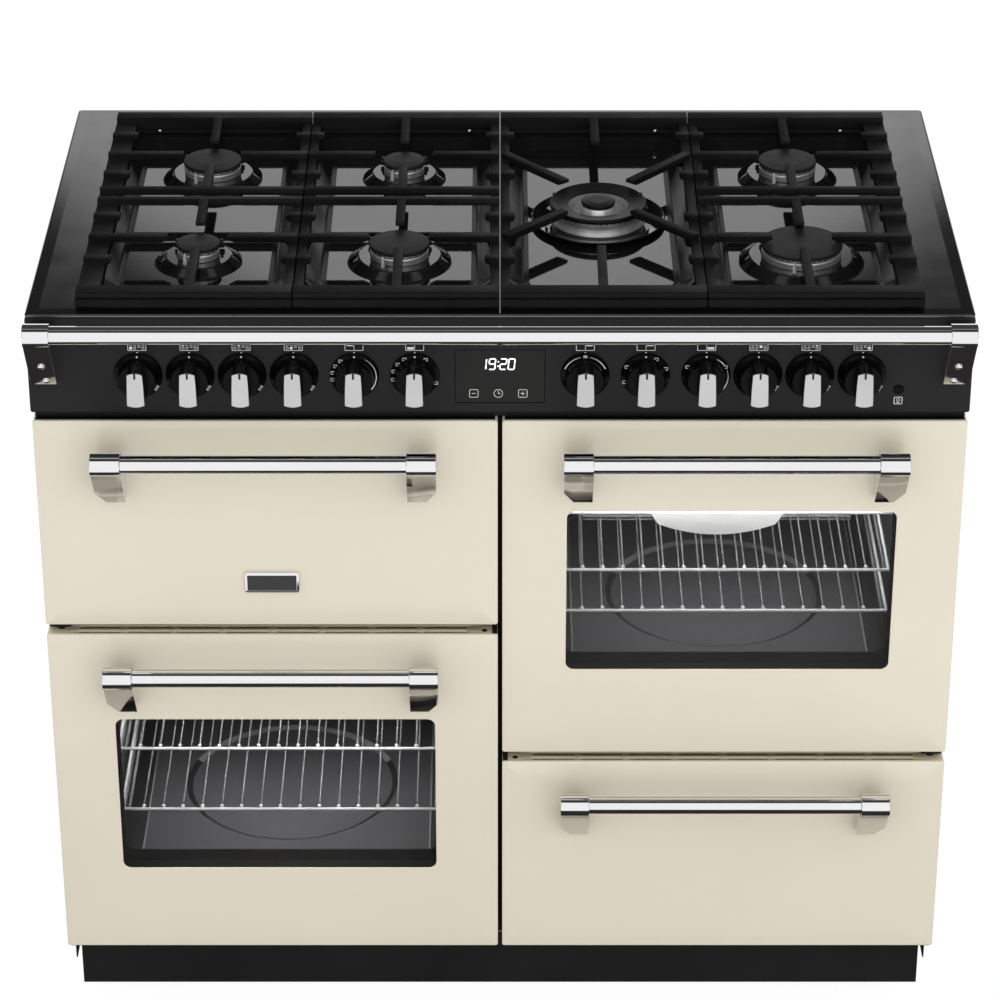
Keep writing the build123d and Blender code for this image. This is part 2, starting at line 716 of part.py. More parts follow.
def knob(x):
    """Black body with skirt, bar grip and spindle, and the metal face on the grip."""
    place = Pos(x, y_at(-FASCIA_PROUD - CLEAR), z_at(CONTROL_DROP)) * Rot(90, 0, 0)
    body = turned([
        (0, 0),
        (SKIRT_RADIUS, 0),
        (SKIRT_RADIUS - 0.5, 2.0),
        (BARREL_RADIUS + 1.5, 4.5),
        (BARREL_RADIUS, 7.0),
        (BARREL_RADIUS - 0.8, BARREL_PROJECTION - 1.5),
        (BARREL_RADIUS - 2.5, BARREL_PROJECTION),
        (0, BARREL_PROJECTION),
    ])
    tall = KNOB_PROJECTION - GRIP_FACE
    round_bar = Pos(0, 0, tall / 2) * Cylinder(BARREL_RADIUS - 0.5, tall)
    grip = round_bar & Pos(0, 0, tall / 2 + 3) * Box(GRIP_WIDTH, 3 * BARREL_RADIUS, tall)
    reach = SPINDLE_REACH + FASCIA_PROUD + CLEAR
    spindle = Pos(0, 0, -reach / 2) * Cylinder(SPINDLE_RADIUS, reach)
    plate = Pos(0, 0, tall + GRIP_FACE / 2) * Cylinder(BARREL_RADIUS - 0.5, GRIP_FACE)
    face = plate & Pos(0, 0, tall) * Box(GRIP_WIDTH, 3 * BARREL_RADIUS, 4 * GRIP_FACE)
    face -= Pos(0, BARREL_RADIUS, tall + GRIP_FACE / 2) * Box(POINTER_WIDTH, 2 * POINTER_LENGTH, 2 * GRIP_FACE)
    return place * (body + grip + spindle), place * face


def light_button():
    """Round push button kept behind the fascia by its flange."""
    z = z_at(BUTTON_DROP)
    flange_y = (y_at(FASCIA_BACK + CLEAR), y_at(FASCIA_BACK + CLEAR + 2))
    tail = flange_y[1] + BUTTON_TRAVEL
    stem = rod_y(BUTTON_RADIUS, BUTTON_ACROSS, (y_at(-FASCIA_PROUD - 1), tail), z)
    return stem + rod_y(BUTTON_RADIUS + 2, BUTTON_ACROSS, flange_y, z)


def gas_rail():
    """Square gas rail with a tap behind each burner knob, and the inlet pipe to the back."""
    z = z_at(CONTROL_DROP)
    half = MANIFOLD / 2
    rail_y = (y_at(MANIFOLD_BACK), y_at(MANIFOLD_BACK + MANIFOLD))
    rail = block((-SIDE_INNER, SIDE_INNER), rail_y, (z - half, z + half))
    rail -= block(
        (-SIDE_INNER + 3, SIDE_INNER - 3),
        (rail_y[0] + 3, rail_y[1] - 3),
        (z - half + 3, z + half - 3),
    )
    outlet = y_at(BACK_PANEL_REAR)
    pipe = rod_y(PIPE_RADIUS, INLET_ACROSS, (rail_y[1], outlet), z)
    pipe += rod_y(INLET_RADIUS, INLET_ACROSS, (outlet, outlet + INLET_LENGTH), z)
    pieces = [rail, pipe]
    for number, x in enumerate(KNOB_X, 1):
        if number in OVEN_KNOBS:
            continue
        tap = rod_y(TAP_RADIUS, x, (y_at(TAP_FRONT), rail_y[0]), z)
        tap -= rod_y(SPINDLE_RADIUS + RUNNING, x, (y_at(TAP_FRONT), y_at(SPINDLE_REACH + 2)), z)
        pieces.append(tap)
    return pieces


def oven_switches():
    """Rotary switches clipped behind the fascia at the oven knobs."""
    z = z_at(CONTROL_DROP)
    half = SWITCH_SIZE / 2
    pieces = []
    for number in OVEN_KNOBS:
        x = KNOB_X[number - 1]
        case_y = (y_at(FASCIA_BACK), y_at(FASCIA_BACK + SWITCH_DEPTH))
        case = block((x - half, x + half), case_y, (z - half, z + half))
        case -= rod_y(SPINDLE_RADIUS + RUNNING, x, (y_at(0), y_at(SPINDLE_REACH + 2)), z)
        pieces.append(case)
    return pieces


# Handrail and handles


def side_hull(x, circle, foot, width):
    """Cast arm: the hull of a round and a foot seen from the side, as wide as given along X."""
    round_end = Pos(*circle[:2]) * Circle(circle[2])
    foot_end = Pos((foot[0][0] + foot[1][0]) / 2, (foot[0][1] + foot[1][1]) / 2) * Rectangle(
        abs(foot[1][0] - foot[0][0]), abs(foot[1][1] - foot[0][1])
    )
    outline = make_hull((round_end + foot_end).edges())
    return extrude(Plane(origin=(x, 0, 0), x_dir=(0, 1, 0), z_dir=(1, 0, 0)) * outline, width)


def bolt_head(x, level, sleeve, toe):
    """Bolt head standing on the sloping front of a bracket, between its sleeve and its toe."""
    rise = (sleeve[0] - toe[0], sleeve[1] - toe[1])
    slope = atan2(rise[1], rise[0]) + asin(BRACKET_SLEEVE / hypot(*rise))
    along = (level - toe[1]) / sin(slope)
    seat = Plane((x, toe[0] + along * cos(slope), level), x_dir=(1, 0, 0), z_dir=(0, -sin(slope), cos(slope)))
    return seat * Cylinder(BOLT_RADIUS, 2 * BOLT_HEIGHT)


def handrail():
    """Rail tube between two cast brackets on the fascia."""
    y, z = y_at(-FASCIA_PROUD - HANDRAIL_REACH), z_at(HANDRAIL_DROP)
    outer = WIDTH / 2 - BRACKET_INSET
    inner = outer - BRACKET_WIDTH
    tube = rod_x(HANDRAIL_RADIUS, (-inner, inner), y, z)
    foot = ((y_at(-FASCIA_PROUD - 3), z_at(BRACKET_FOOT_DROP)), (y_at(-FASCIA_PROUD), z_at(BRACKET_FOOT_DROP - 50)))
    pieces = [tube]
    for side, start in ((-1, -outer), (1, inner)):
        arm = side_hull(start, (y, z, BRACKET_SLEEVE), foot, BRACKET_WIDTH)
        for inset, drop in zip(BOLT_INSETS, BOLT_DROPS):
            arm += bolt_head(side * (outer - inset), z_at(drop), (y, z), foot[0])
        pieces.append(arm)
    return pieces


def handle(centre_x, top):
    """Tube handle on two posts with larger end caps."""
    front = y_at(-DOOR_FACE)
    y, z = front - HANDLE_STANDOFF, top - HANDLE_DROP
    half = HANDLE_LENGTH / 2
    grip = half - HANDLE_CAP_LENGTH
    pieces = [rod_x(HANDLE_RADIUS, (centre_x - grip, centre_x + grip), y, z)]
    foot_low = top - HANDLE_DROP - HANDLE_FOOT_DROP
    foot = ((front - 3, foot_low), (front, foot_low + HANDLE_FOOT_HEIGHT))
    width = HANDLE_CAP_LENGTH - HANDLE_POST_SHY
    for side in (-1, 1):
        cap = rod_x(HANDLE_CAP_RADIUS, (centre_x + side * grip, centre_x + side * half), y, z)
        end = centre_x + side * (grip + width)
        start = min(centre_x + side * grip, end)
        post = side_hull(start, (y, z, HANDLE_CAP_RADIUS - 1), foot, width)
        across, up = HANDLE_FOOT_CUT
        corner = Polyline(
            (end + side, foot_low - 1), (end - side * across, foot_low - 1), (end + side, foot_low + up), close=True
        )
        post -= extrude(upright(0, front + 1, 0) * make_face(corner), HANDLE_STANDOFF)
        pieces.append(cap + post)
    return pieces


def badge_plate(side, bottom):
    """Bare plate on a door's face, with a bevelled edge."""
    centre = (side * DOOR_CENTRE - side * BADGE_ACROSS, bottom + BADGE_RISE)
    front = y_at(-DOOR_FACE)
    plate = rounded_slab(centre, (BADGE_WIDTH, BADGE_HEIGHT), BADGE_CORNER, (front, front - BADGE_THICKNESS))
    return chamfer(plate.faces().sort_by(Axis.Y)[0].edges(), BADGE_CORNER / 2)


# Doors


def door_skin(side, top, height, window, vents):
    """Enamelled outer door with sloped borders, hinge blocks, and a window or top vents."""
    centre = (side * DOOR_CENTRE, top - height / 2)
    size = (DOOR_WIDTH, height)
    edge, back = y_at(-DOOR_PROUD), y_at(SKIN_BACK)
    skin = rounded_slab(centre, size, DOOR_CORNER, (back, edge))
    skin += crown(centre, size, DOOR_CORNER, DOOR_BEVEL, (edge, edge - DOOR_CROWN))
    hollow = (DOOR_WIDTH - 2 * DOOR_WALL, height - 2 * DOOR_WALL)
    corner = DOOR_CORNER - DOOR_WALL
    inside = rounded_slab(centre, hollow, corner, (back - DOOR_WALL, edge + DOOR_WALL))
    inside += crown(
        centre, hollow, corner, DOOR_BEVEL, (edge + DOOR_WALL, edge + DOOR_WALL - DOOR_CROWN)
    )
    pivot = (side * PIVOT_X, y_at(PIVOT_FROM_FRONT))
    outer = side * (DOOR_CENTRE + DOOR_WIDTH / 2)
    for end, up in ((top, 1), (top - height, -1)):
        span = (outer, outer - side * HINGE_BLOCK)
        inside -= block(span, (back, edge - DOOR_CROWN), (end - up * (PIN_DEPTH + 6), end))
    skin -= inside
    rear_hole = (DOOR_WIDTH - 2 * SKIN_FLANGE, height - 2 * SKIN_FLANGE)
    skin -= rounded_slab(centre, rear_hole, DOOR_CORNER, (back + 1, back - 2 * DOOR_WALL))
    for end, up in ((top, 1), (top - height, -1)):
        skin -= rod_z(PIN_RADIUS + RUNNING, *pivot, (end, end - up * (PIN_DEPTH + 2)))
    if window:
        opening = (WINDOW_WIDTH, WINDOW_HEIGHT)
        skin -= rounded_slab(centre, opening, WINDOW_CORNER, (edge + DOOR_WALL + 1, edge - DOOR_CROWN - 1))
    if vents:
        for row in range(2):
            slot_y = edge + VENT_ROW_FRONT + row * VENT_ROW_PITCH
            for i in range(VENT_COUNT):
                x = centre[0] + (i - (VENT_COUNT - 1) / 2) * VENT_PITCH
                span = (x - VENT_SLOT_LENGTH / 2, x + VENT_SLOT_LENGTH / 2)
                skin -= block(span, (slot_y, slot_y + VENT_SLOT_WIDTH), (top - 2 * DOOR_WALL, top + 1))
    return skin


def door_liner(side, top, height, window):
    """Inner tray that closes the back of a door."""
    centre = (side * DOOR_CENTRE, top - height / 2)
    size = (DOOR_WIDTH - 2 * LINER_INSET, height - 2 * LINER_INSET)
    front, back = y_at(SKIN_BACK), y_at(DOOR_BACK)
    tray = rounded_slab(centre, size, DOOR_CORNER, (back, front))
    hollow = (size[0] - 2 * DOOR_WALL, size[1] - 2 * DOOR_WALL)
    tray -= rounded_slab(centre, hollow, DOOR_CORNER - DOOR_WALL, (back - DOOR_WALL, front - 1))
    if window:
        opening = (WINDOW_WIDTH, WINDOW_HEIGHT)
        tray -= rounded_slab(centre, opening, WINDOW_CORNER, (back + 1, front))
    return tray


def door_panes(side, top, height):
    """Outer pane behind the skin and inner pane in the liner."""
    centre = (side * DOOR_CENTRE, top - height / 2)
    size = (WINDOW_WIDTH + 2 * PANE_LAP, WINDOW_HEIGHT + 2 * PANE_LAP)
    outer_front = y_at(-DOOR_FACE + DOOR_WALL)
    inner_back = y_at(DOOR_BACK - DOOR_WALL)
    return [
        rounded_slab(centre, size, WINDOW_CORNER, (outer_front + PANE_THICKNESS, outer_front)),
        rounded_slab(centre, size, WINDOW_CORNER, (inner_back, inner_back - PANE_THICKNESS)),
    ]


def door_hinges():
    """Bracket plates on the front frame and the pins that the doors swing on."""
    pieces = []
    row_drops = {
        -1: DOOR_TOP_DROP + SHORT_DOOR,
        1: DOOR_TOP_DROP + TALL_DOOR,
    }
    nose, root = y_at(HINGE_PLATE_NOSE - DOOR_PROUD), y_at(FRAME_FRONT)
    for side, drop in row_drops.items():
        pivot = (side * PIVOT_X, y_at(PIVOT_FROM_FRONT))
        span = (side * SIDE_OUTER, side * (SIDE_OUTER - HINGE_PLATE_WIDTH))
        middle_top = z_at(drop + (DOOR_ROW_GAP - BRACKET_PLATE) / 2)
        lower_top = z_at(DOOR_BOTTOM_DROP + (BASE_DROP - BRACKET_PLATE) / 2)
        for plate_top in (middle_top, lower_top):
            outline = Polyline(
                (span[0], nose),
                (span[1] + side * HINGE_PLATE_CUT, nose),
                (span[1], nose + HINGE_PLATE_CUT),
                (span[1], root),
                (span[0], root),
                close=True,
            )
            plate = Pos(0, 0, plate_top - BRACKET_PLATE) * extrude(make_face(outline), BRACKET_PLATE, dir=(0, 0, 1))
            hole = rod_z(PIN_RADIUS + RUNNING, *pivot, (plate_top - 2 * BRACKET_PLATE, plate_top + BRACKET_PLATE))
            pieces.append(plate - hole)
        rail_bottom = z_at(FASCIA_BOTTOM_DROP + SEAM + TOP_RAIL)
        spans = (
            (rail_bottom, z_at(DOOR_TOP_DROP + PIN_DEPTH)),
            (z_at(drop - PIN_DEPTH), z_at(drop + DOOR_ROW_GAP + PIN_DEPTH)),
            (z_at(DOOR_BOTTOM_DROP - PIN_DEPTH), lower_top - BRACKET_PLATE),
        )
        pieces += [rod_z(PIN_RADIUS, *pivot, span_z) for span_z in spans]
    return pieces


# Cavities


def cavity_box(side, drop, height):
    """Inner X, Y and Z spans of a cavity."""
    x = (side * DOOR_CENTRE - CAVITY_WIDTH / 2, side * DOOR_CENTRE + CAVITY_WIDTH / 2)
    return x, (y_at(FRAME_BACK), y_at(CAVITY_BACK)), (z_at(drop + height), z_at(drop))


def cavity(side, drop, height, oven):
    """Enamelled liner open at the front, with a pressed ring in an oven's floor."""
    x, y, z = cavity_box(side, drop, height)
    t = CAVITY_SHEET
    liner = block((x[0] - t, x[1] + t), (y[0], y[1] + t), (z[0] - t, z[1] + t))
    if not oven:
        return liner - block(x, y, z)
    middle = (side * DOOR_CENTRE, (y[0] + y[1]) / 2)
    liner += rod_z(FLOOR_RING + t, *middle, (z[0] - t - FLOOR_RING_DEPTH, z[0] - t))
    liner -= block(x, y, z)
    liner -= rod_z(FLOOR_RING, *middle, (z[0] - FLOOR_RING_DEPTH, z[0] + t))
    shaft_y = (y[1] - t, y[1] + 2 * t)
    return liner - rod_y(SHAFT_RADIUS + CLEAR, middle[0], shaft_y, (z[0] + z[1]) / 2)


def ladder(side, drop, wall, levels):
    """Side runner of an oven: two uprights and a rail at each shelf level."""
    x, y, z = cavity_box(side, drop, OVEN_HEIGHT)
    wall_x = x[0] if wall < 0 else x[1]
    bar_x = (wall_x, wall_x - wall * LADDER_BAR)
    rail_x = (bar_x[1], bar_x[1] - wall * LADDER_RAIL_WIDTH)
    span = (y[0] + LADDER_FRONT, y[0] + LADDER_BACK)
    high = z[0] + max(levels) + 2 * LADDER_BAR
    shape = None
    for post in (span[0], span[1] - LADDER_BAR):
        upright_bar = block(bar_x, (post, post + LADDER_BAR), (z[0], high))
        shape = upright_bar if shape is None else shape + upright_bar
    for level in levels:
        shape += block(rail_x, span, (z[0] + level - LADDER_RAIL_HEIGHT, z[0] + level))
    return shape


def shelf(side, drop, level):
    """Wire shelf with front-to-back wires between a front and a back wire."""
    x, y, z = cavity_box(side, drop, OVEN_HEIGHT)
    centre, low = side * DOOR_CENTRE, z[0] + level
    span = (y[0] + SHELF_FRONT, y[0] + SHELF_FRONT + SHELF_DEPTH)
    height = (low, low + SHELF_WIRE)
    frame = block((centre - SHELF_HALF, centre + SHELF_HALF), span, height)
    inner = SHELF_HALF - SHELF_WIRE
    frame -= block(
        (centre - inner, centre + inner), (span[0] + SHELF_WIRE, span[1] - SHELF_WIRE), (low - 1, low + 2 * SHELF_WIRE)
    )
    pitch = 2 * inner / (SHELF_CROSS_COUNT + 1)
    top = low + SHELF_WIRE
    for i in range(SHELF_CROSS_COUNT):
        wire = centre - inner + (i + 1) * pitch
        wire_x = (wire - SHELF_CROSS_WIRE / 2, wire + SHELF_CROSS_WIRE / 2)
        frame += block(wire_x, span, (top - SHELF_CROSS_WIRE, top))
    return frame


def air_fry_tray(side, drop):
    """Shallow mesh tray hung by its rim on the runners, with a bare front plate."""
    x, y, z = cavity_box(side, drop, OVEN_HEIGHT)
    centre, low = side * DOOR_CENTRE, z[0] + TRAY_LEVEL
    span = (y[0] + SHELF_FRONT, y[0] + SHELF_FRONT + SHELF_DEPTH)
    rim = block((centre - SHELF_HALF, centre + SHELF_HALF), span, (low, low + SHELF_WIRE))
    half = LADDER_INNER - CLEAR
    pan_y = (span[0] + SHELF_WIRE, span[1] - SHELF_WIRE)
    rim += block((centre - half, centre + half), pan_y, (low - TRAY_DEPTH, low))
    hollow = half - TRAY_SHEET
    rim -= block(
        (centre - hollow, centre + hollow),
        (pan_y[0] + TRAY_SHEET, pan_y[1] - TRAY_SHEET),
        (low - TRAY_DEPTH + TRAY_SHEET, low + 2 * SHELF_WIRE),
    )
    wide = TRAY_PLATE_WIDTH / 2
    narrow = wide - TRAY_PLATE_TAPER
    shoulder = -TRAY_PLATE_SHOULDER
    edge = Polyline((-narrow, shoulder), (-wide, 0), (wide, 0), (narrow, shoulder))
    bow = ThreePointArc((narrow, shoulder), (0, -TRAY_PLATE_HEIGHT), (-narrow, shoulder))
    plate = upright(centre, span[0], low + SHELF_WIRE) * make_face(edge.edges() + bow.edges())
    return [rim, extrude(plate, TRAY_SHEET)]


def fan_parts(side, drop):
    """Fan wheel with its shaft, the motor behind the wall, and the cover in front."""
    x, y, z = cavity_box(side, drop, OVEN_HEIGHT)
    wall = y[1]
    place = Pos(side * DOOR_CENTRE, wall, (z[0] + z[1]) / 2) * Rot(90, 0, 0)
    back = CAVITY_SHEET
    wheel_low = 4.0
    wheel = Pos(0, 0, wheel_low + 0.75) * Cylinder(FAN_RADIUS, 1.5)
    wheel += Pos(0, 0, wheel_low + 5) * Cylinder(3 * SHAFT_RADIUS, 10)
    for i in range(FAN_BLADES):
        blade = Pos(FAN_RADIUS - 14, 0, wheel_low + FAN_BLADE_DEPTH / 2) * Rot(0, 0, 30)
        wheel += Rot(0, 0, i * 360 / FAN_BLADES) * blade * Box(24, 1.5, FAN_BLADE_DEPTH)
    reach = back + MOTOR_LENGTH / 2
    wheel += Pos(0, 0, wheel_low - (reach + wheel_low) / 2) * Cylinder(SHAFT_RADIUS, reach + wheel_low)
    motor = turned([
        (SHAFT_RADIUS + RUNNING, -back),
        (MOTOR_FLANGE, -back),
        (MOTOR_FLANGE, -back - 3),
        (MOTOR_RADIUS, -back - 3),
        (MOTOR_RADIUS, -back - MOTOR_LENGTH),
        (0, -back - MOTOR_LENGTH),
        (0, -reach - 2),
        (SHAFT_RADIUS + RUNNING, -reach - 2),
    ])
    rim = FAN_COVER_RADIUS
    cover = turned([
        (rim - 1.5, 0),
        (rim, 0),
        (rim - 6, FAN_COVER_DEPTH),
        (FAN_INTAKE, FAN_COVER_DEPTH),
        (FAN_INTAKE, FAN_COVER_DEPTH - 1.5),
        (rim - 7.5, FAN_COVER_DEPTH - 1.5),
    ])
    guard = Pos(0, 0, FAN_COVER_DEPTH - 0.75)
    for turn in (0, 60, 120):
        cover += guard * Rot(0, 0, turn) * Box(2 * FAN_INTAKE + 2, 3, 1.5)
    return place * wheel, place * motor, place * cover


def grill_element():
    """Looped sheathed element under the roof of the grill cavity, held at the back wall."""
    x, y, z = cavity_box(-1, DOOR_TOP_DROP + SMALL_CAVITY_TOP, SMALL_CAVITY_HEIGHT)
    level = z[1] - ELEMENT_DROP
    pitch = ELEMENT_SPAN / (ELEMENT_LEGS - 1)
    first = -DOOR_CENTRE - ELEMENT_SPAN / 2
    near, far = y[0] + ELEMENT_FRONT_GAP, y[1] - ELEMENT_FRONT_GAP
    points = []
    for i in range(ELEMENT_LEGS):
        leg = first + i * pitch
        ends = [(leg, far), (leg, near)] if i % 2 == 0 else [(leg, near), (leg, far)]
        points += ends
    points[0] = (first, y[1])
    points[-1] = (points[-1][0], y[1])
    path = FilletPolyline(*[(px, py, level) for px, py in points], radius=pitch * 0.45)
    section = Plane(origin=path @ 0, z_dir=path % 0) * Circle(ELEMENT_RADIUS)
    return sweep(section, path=path)


def seal(side, drop, height):
    """Rubber frame round a cavity opening, on the front frame."""
    x, y, z = cavity_box(side, drop, height)
    lap = SEAL_LAP
    inner = block((x[0] - lap, x[1] + lap), (y_at(DOOR_BACK), y_at(FRAME_FRONT)), (z[0] - lap, z[1] + lap))
    lap += SEAL_WIDTH
    face = (y_at(DOOR_BACK + CLEAR), y_at(FRAME_FRONT))
    return block((x[0] - lap, x[1] + lap), face, (z[0] - lap, z[1] + lap)) - inner


CAVITIES = {
    "grill": (-1, DOOR_TOP_DROP + SMALL_CAVITY_TOP, SMALL_CAVITY_HEIGHT, False),
    "left_oven": (-1, DOOR_TOP_DROP + SHORT_DOOR + DOOR_ROW_GAP + OVEN_TOP, OVEN_HEIGHT, True),
    "right_oven": (1, DOOR_TOP_DROP + OVEN_TOP, OVEN_HEIGHT, True),
    "slow_oven": (1, DOOR_TOP_DROP + TALL_DOOR + DOOR_ROW_GAP + SMALL_CAVITY_TOP, SMALL_CAVITY_HEIGHT, False),
}
DOORS = {
    "grill": (-1, DOOR_TOP_DROP, SHORT_DOOR),
    "left_oven": (-1, DOOR_TOP_DROP + SHORT_DOOR + DOOR_ROW_GAP, TALL_DOOR),
    "right_oven": (1, DOOR_TOP_DROP, TALL_DOOR),
    "slow_oven": (1, DOOR_TOP_DROP + TALL_DOOR + DOOR_ROW_GAP, SHORT_DOOR),
}
LEVELS = {
    "left_oven": SHELF_LEVELS_LEFT,
    "right_oven": SHELF_LEVELS_RIGHT + (TRAY_LEVEL,),
}


# Chassis


def side_panel(side):
    """Side sheet with a step at the front, where the doors stand in front of the frame."""
    top, low = z_at(HOB_SHEET), SIDE_FLOOR_GAP
    step = z_at(FASCIA_BOTTOM_DROP + SEAM + TOP_RAIL)
    rear = y_at(HOB_DEPTH - SIDE_REAR_INSET)
    outline = Polyline(
        (0, y_at(FRAME_FRONT), low),
        (0, rear, low),
        (0, rear, top),
        (0, y_at(FASCIA_BACK), top),
        (0, y_at(FASCIA_BACK), step),
        (0, y_at(FRAME_FRONT), step),
        close=True,
    )
    panel = extrude(make_face(outline), SHEET, dir=(1, 0, 0))
    return Pos(SIDE_INNER if side > 0 else -SIDE_OUTER, 0, 0) * panel


def front_frame():
    """Dark front plate with four openings and the rail under the fascia."""
    rail_top = z_at(FASCIA_BOTTOM_DROP + SEAM)
    rail_bottom = rail_top - TOP_RAIL
    span = (-SIDE_INNER, SIDE_INNER)
    frame = block(span, (y_at(FRAME_FRONT), y_at(FRAME_BACK)), (z_at(BASE_TOP_DROP), rail_bottom))
    frame += block(span, (y_at(FASCIA_BACK + 1), y_at(FRAME_BACK)), (rail_bottom, rail_top))
    for side, drop, height, _ in CAVITIES.values():
        x, y, z = cavity_box(side, drop, height)
        frame -= block(x, (y_at(FRAME_FRONT - 1), y_at(FRAME_BACK + 1)), z)
    return frame


def back_panel():
    """Rear sheet with two banks of louvre slots and the inlet pipe's hole."""
    panel = block(
        (-SIDE_INNER, SIDE_INNER),
        (y_at(BACK_PANEL_FRONT), y_at(BACK_PANEL_REAR)),
        (z_at(BASE_TOP_DROP), z_at(HOB_SKIRT + WELL_DEPTH)),
    )
    through = (y_at(BACK_PANEL_FRONT - 1), y_at(BACK_PANEL_REAR + 1))
    first = z_at(DOOR_TOP_DROP)
    for side in (-1, 1):
        x = (side * DOOR_CENTRE - LOUVRE_LENGTH / 2, side * DOOR_CENTRE + LOUVRE_LENGTH / 2)
        for i in range(VENT_LOUVRES):
            z = first - i * LOUVRE_PITCH
            panel -= block(x, through, (z - LOUVRE_WIDTH, z))
    return panel - rod_y(PIPE_RADIUS + CLEAR, INLET_ACROSS, through, z_at(CONTROL_DROP))


def base_pan():
    """Floor sheet between the side panels."""
    top = z_at(BASE_TOP_DROP)
    return block((-SIDE_INNER, SIDE_INNER), (y_at(FRAME_FRONT), y_at(BACK_PANEL_REAR)), (top - SHEET, top))


def plinth():
    """Set-back kick panel with a return under the base pan."""
    top = z_at(BASE_TOP_DROP) - SHEET
    half = WIDTH / 2 - PLINTH_INSET
    front = y_at(PLINTH_SETBACK)
    panel = block((-half, half), (front, front + SHEET), (PLINTH_FLOOR_GAP, top))
    return panel + block((-half, half), (front + SHEET, front + 16 * SHEET), (top - SHEET, top))


def levelling_feet():
    """Four feet screwed up into the base pan."""
    top = z_at(BASE_TOP_DROP) - SHEET
    foot = turned([
        (0, 0),
        (FOOT_RADIUS - 2, 0),
        (FOOT_RADIUS, 2),
        (FOOT_RADIUS, FOOT_PAD - 3),
        (FOOT_STEM + 4, FOOT_PAD),
        (FOOT_STEM, FOOT_PAD + 2),
        (FOOT_STEM, top),
        (0, top),
    ])
    half = SIDE_INNER - FOOT_INSET
    rows = (PLINTH_SETBACK + FOOT_INSET, BACK_PANEL_FRONT - FOOT_INSET)
    return [Pos(x, y_at(row), 0) * foot for x in (-half, half) for row in rows]


def mains_gland():
    """Blind bush on the back panel for the supply cable."""
    face = y_at(BACK_PANEL_REAR)
    bush = rod_y(GLAND_RADIUS, -GLAND_ACROSS, (face, face + GLAND_LENGTH), GLAND_HEIGHT)
    bush += rod_y(GLAND_RADIUS + 6, -GLAND_ACROSS, (face, face + 4), GLAND_HEIGHT)
    return bush - rod_y(GLAND_BORE, -GLAND_ACROSS, (face + 2, face + GLAND_LENGTH + 1), GLAND_HEIGHT)


def write_hob():
    """Hob, burners and pan supports."""
    save("hob_tray", hob_tray())
    heads = [on_boss(x, row, BOSS_HEIGHT) * burner_head(cap) for x, row, cap in BURNERS]
    seat = on_boss(*WOK, WOK_SEAT)
    save("burner_heads", *heads, seat * wok_head(), seat * wok_dish())
    caps = [on_head(x, row) * burner_cap(cap) for x, row, cap in BURNERS]
    centre_cap = on_head(*WOK) * Pos(0, 0, WOK_CENTRE_LIFT) * burner_cap(WOK_CENTRE_CAP)
    save("burner_caps", *caps, on_head(*WOK) * wok_ring_cap(), centre_cap)
    save("spark_electrodes", *electrodes())
    save("twin_pan_supports", *[twin_support(i) for i in (0, 1, 3)])
    save("wok_pan_support", wok_support(2))


def write_controls():
    """Fascia and everything on and behind it."""
    save("control_fascia", control_fascia())
    save("clock_display", clock_display())
    save("handrail", *handrail())
    save("gas_rail", *gas_rail())
    save("oven_switches", *oven_switches())
    save("light_button", light_button())
    for number, x in enumerate(KNOB_X, 1):
        save(f"knob_{number}", *knob(x))


def write_doors():
    """Four doors with liners, handles and panes, and their hinges and seals."""
    for name, (side, drop, height) in DOORS.items():
        top, window = z_at(drop), CAVITIES[name][3]
        save(f"{name}_door_skin", door_skin(side, top, height, window, drop > DOOR_TOP_DROP))
        save(f"{name}_door_liner", door_liner(side, top, height, window))
        trim = handle(side * DOOR_CENTRE, top)
        if name == "grill":
            trim.append(badge_plate(side, top - height))
        save(f"{name}_door_handle", *trim)
        if window:
            save(f"{name}_door_panes", *door_panes(side, top, height))
    save("door_hinges", *door_hinges())
    save("door_seals", *[seal(side, drop, height) for side, drop, height, _ in CAVITIES.values()])


def write_cavities():
    """Cavity liners and what they hold."""
    motors, covers, ladders, shelves = [], [], [], []
    for name, (side, drop, height, oven) in CAVITIES.items():
        save(f"{name}_cavity", cavity(side, drop, height, oven))
        if not oven:
            continue
        fan, motor, cover = fan_parts(side, drop)
        save(f"{name}_fan", fan)
        motors.append(motor)
        covers.append(cover)
        levels = LEVELS[name]
        ladders += [ladder(side, drop, wall, levels) for wall in (-1, 1)]
        shelves += [shelf(side, drop, level) for level in levels if level != TRAY_LEVEL]
    save("fan_motors", *motors)
    save("fan_covers", *covers)
    save("shelf_runners", *ladders)
    save("oven_shelves", *shelves)
    right = CAVITIES["right_oven"]
    save("air_fry_tray", *air_fry_tray(right[0], right[1]))
    save("grill_element", grill_element())


def write_chassis():
    """Panels, frame, base and rear inlets."""
    save("side_panel_left", side_panel(-1))
    save("side_panel_right", side_panel(1))
    save("front_frame", front_frame())
    save("back_panel", back_panel())
    save("base_pan", base_pan())
    save("plinth", plinth())
    save("levelling_feet", *levelling_feet())
    save("mains_gland", mains_gland())


os.makedirs("parts", exist_ok=True)
write_hob()
write_controls()
write_doors()
write_cavities()
write_chassis()
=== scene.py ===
"""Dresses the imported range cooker: finishes, rounded meshes, printed marks and the studio round it."""

import logging
import math
from dataclasses import dataclass, field
from enum import Enum
from functools import cache
from typing import Any, Iterable, Sequence

import bmesh
import bpy
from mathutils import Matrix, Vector
from mathutils.geometry import convex_hull_2d, delaunay_2d_cdt


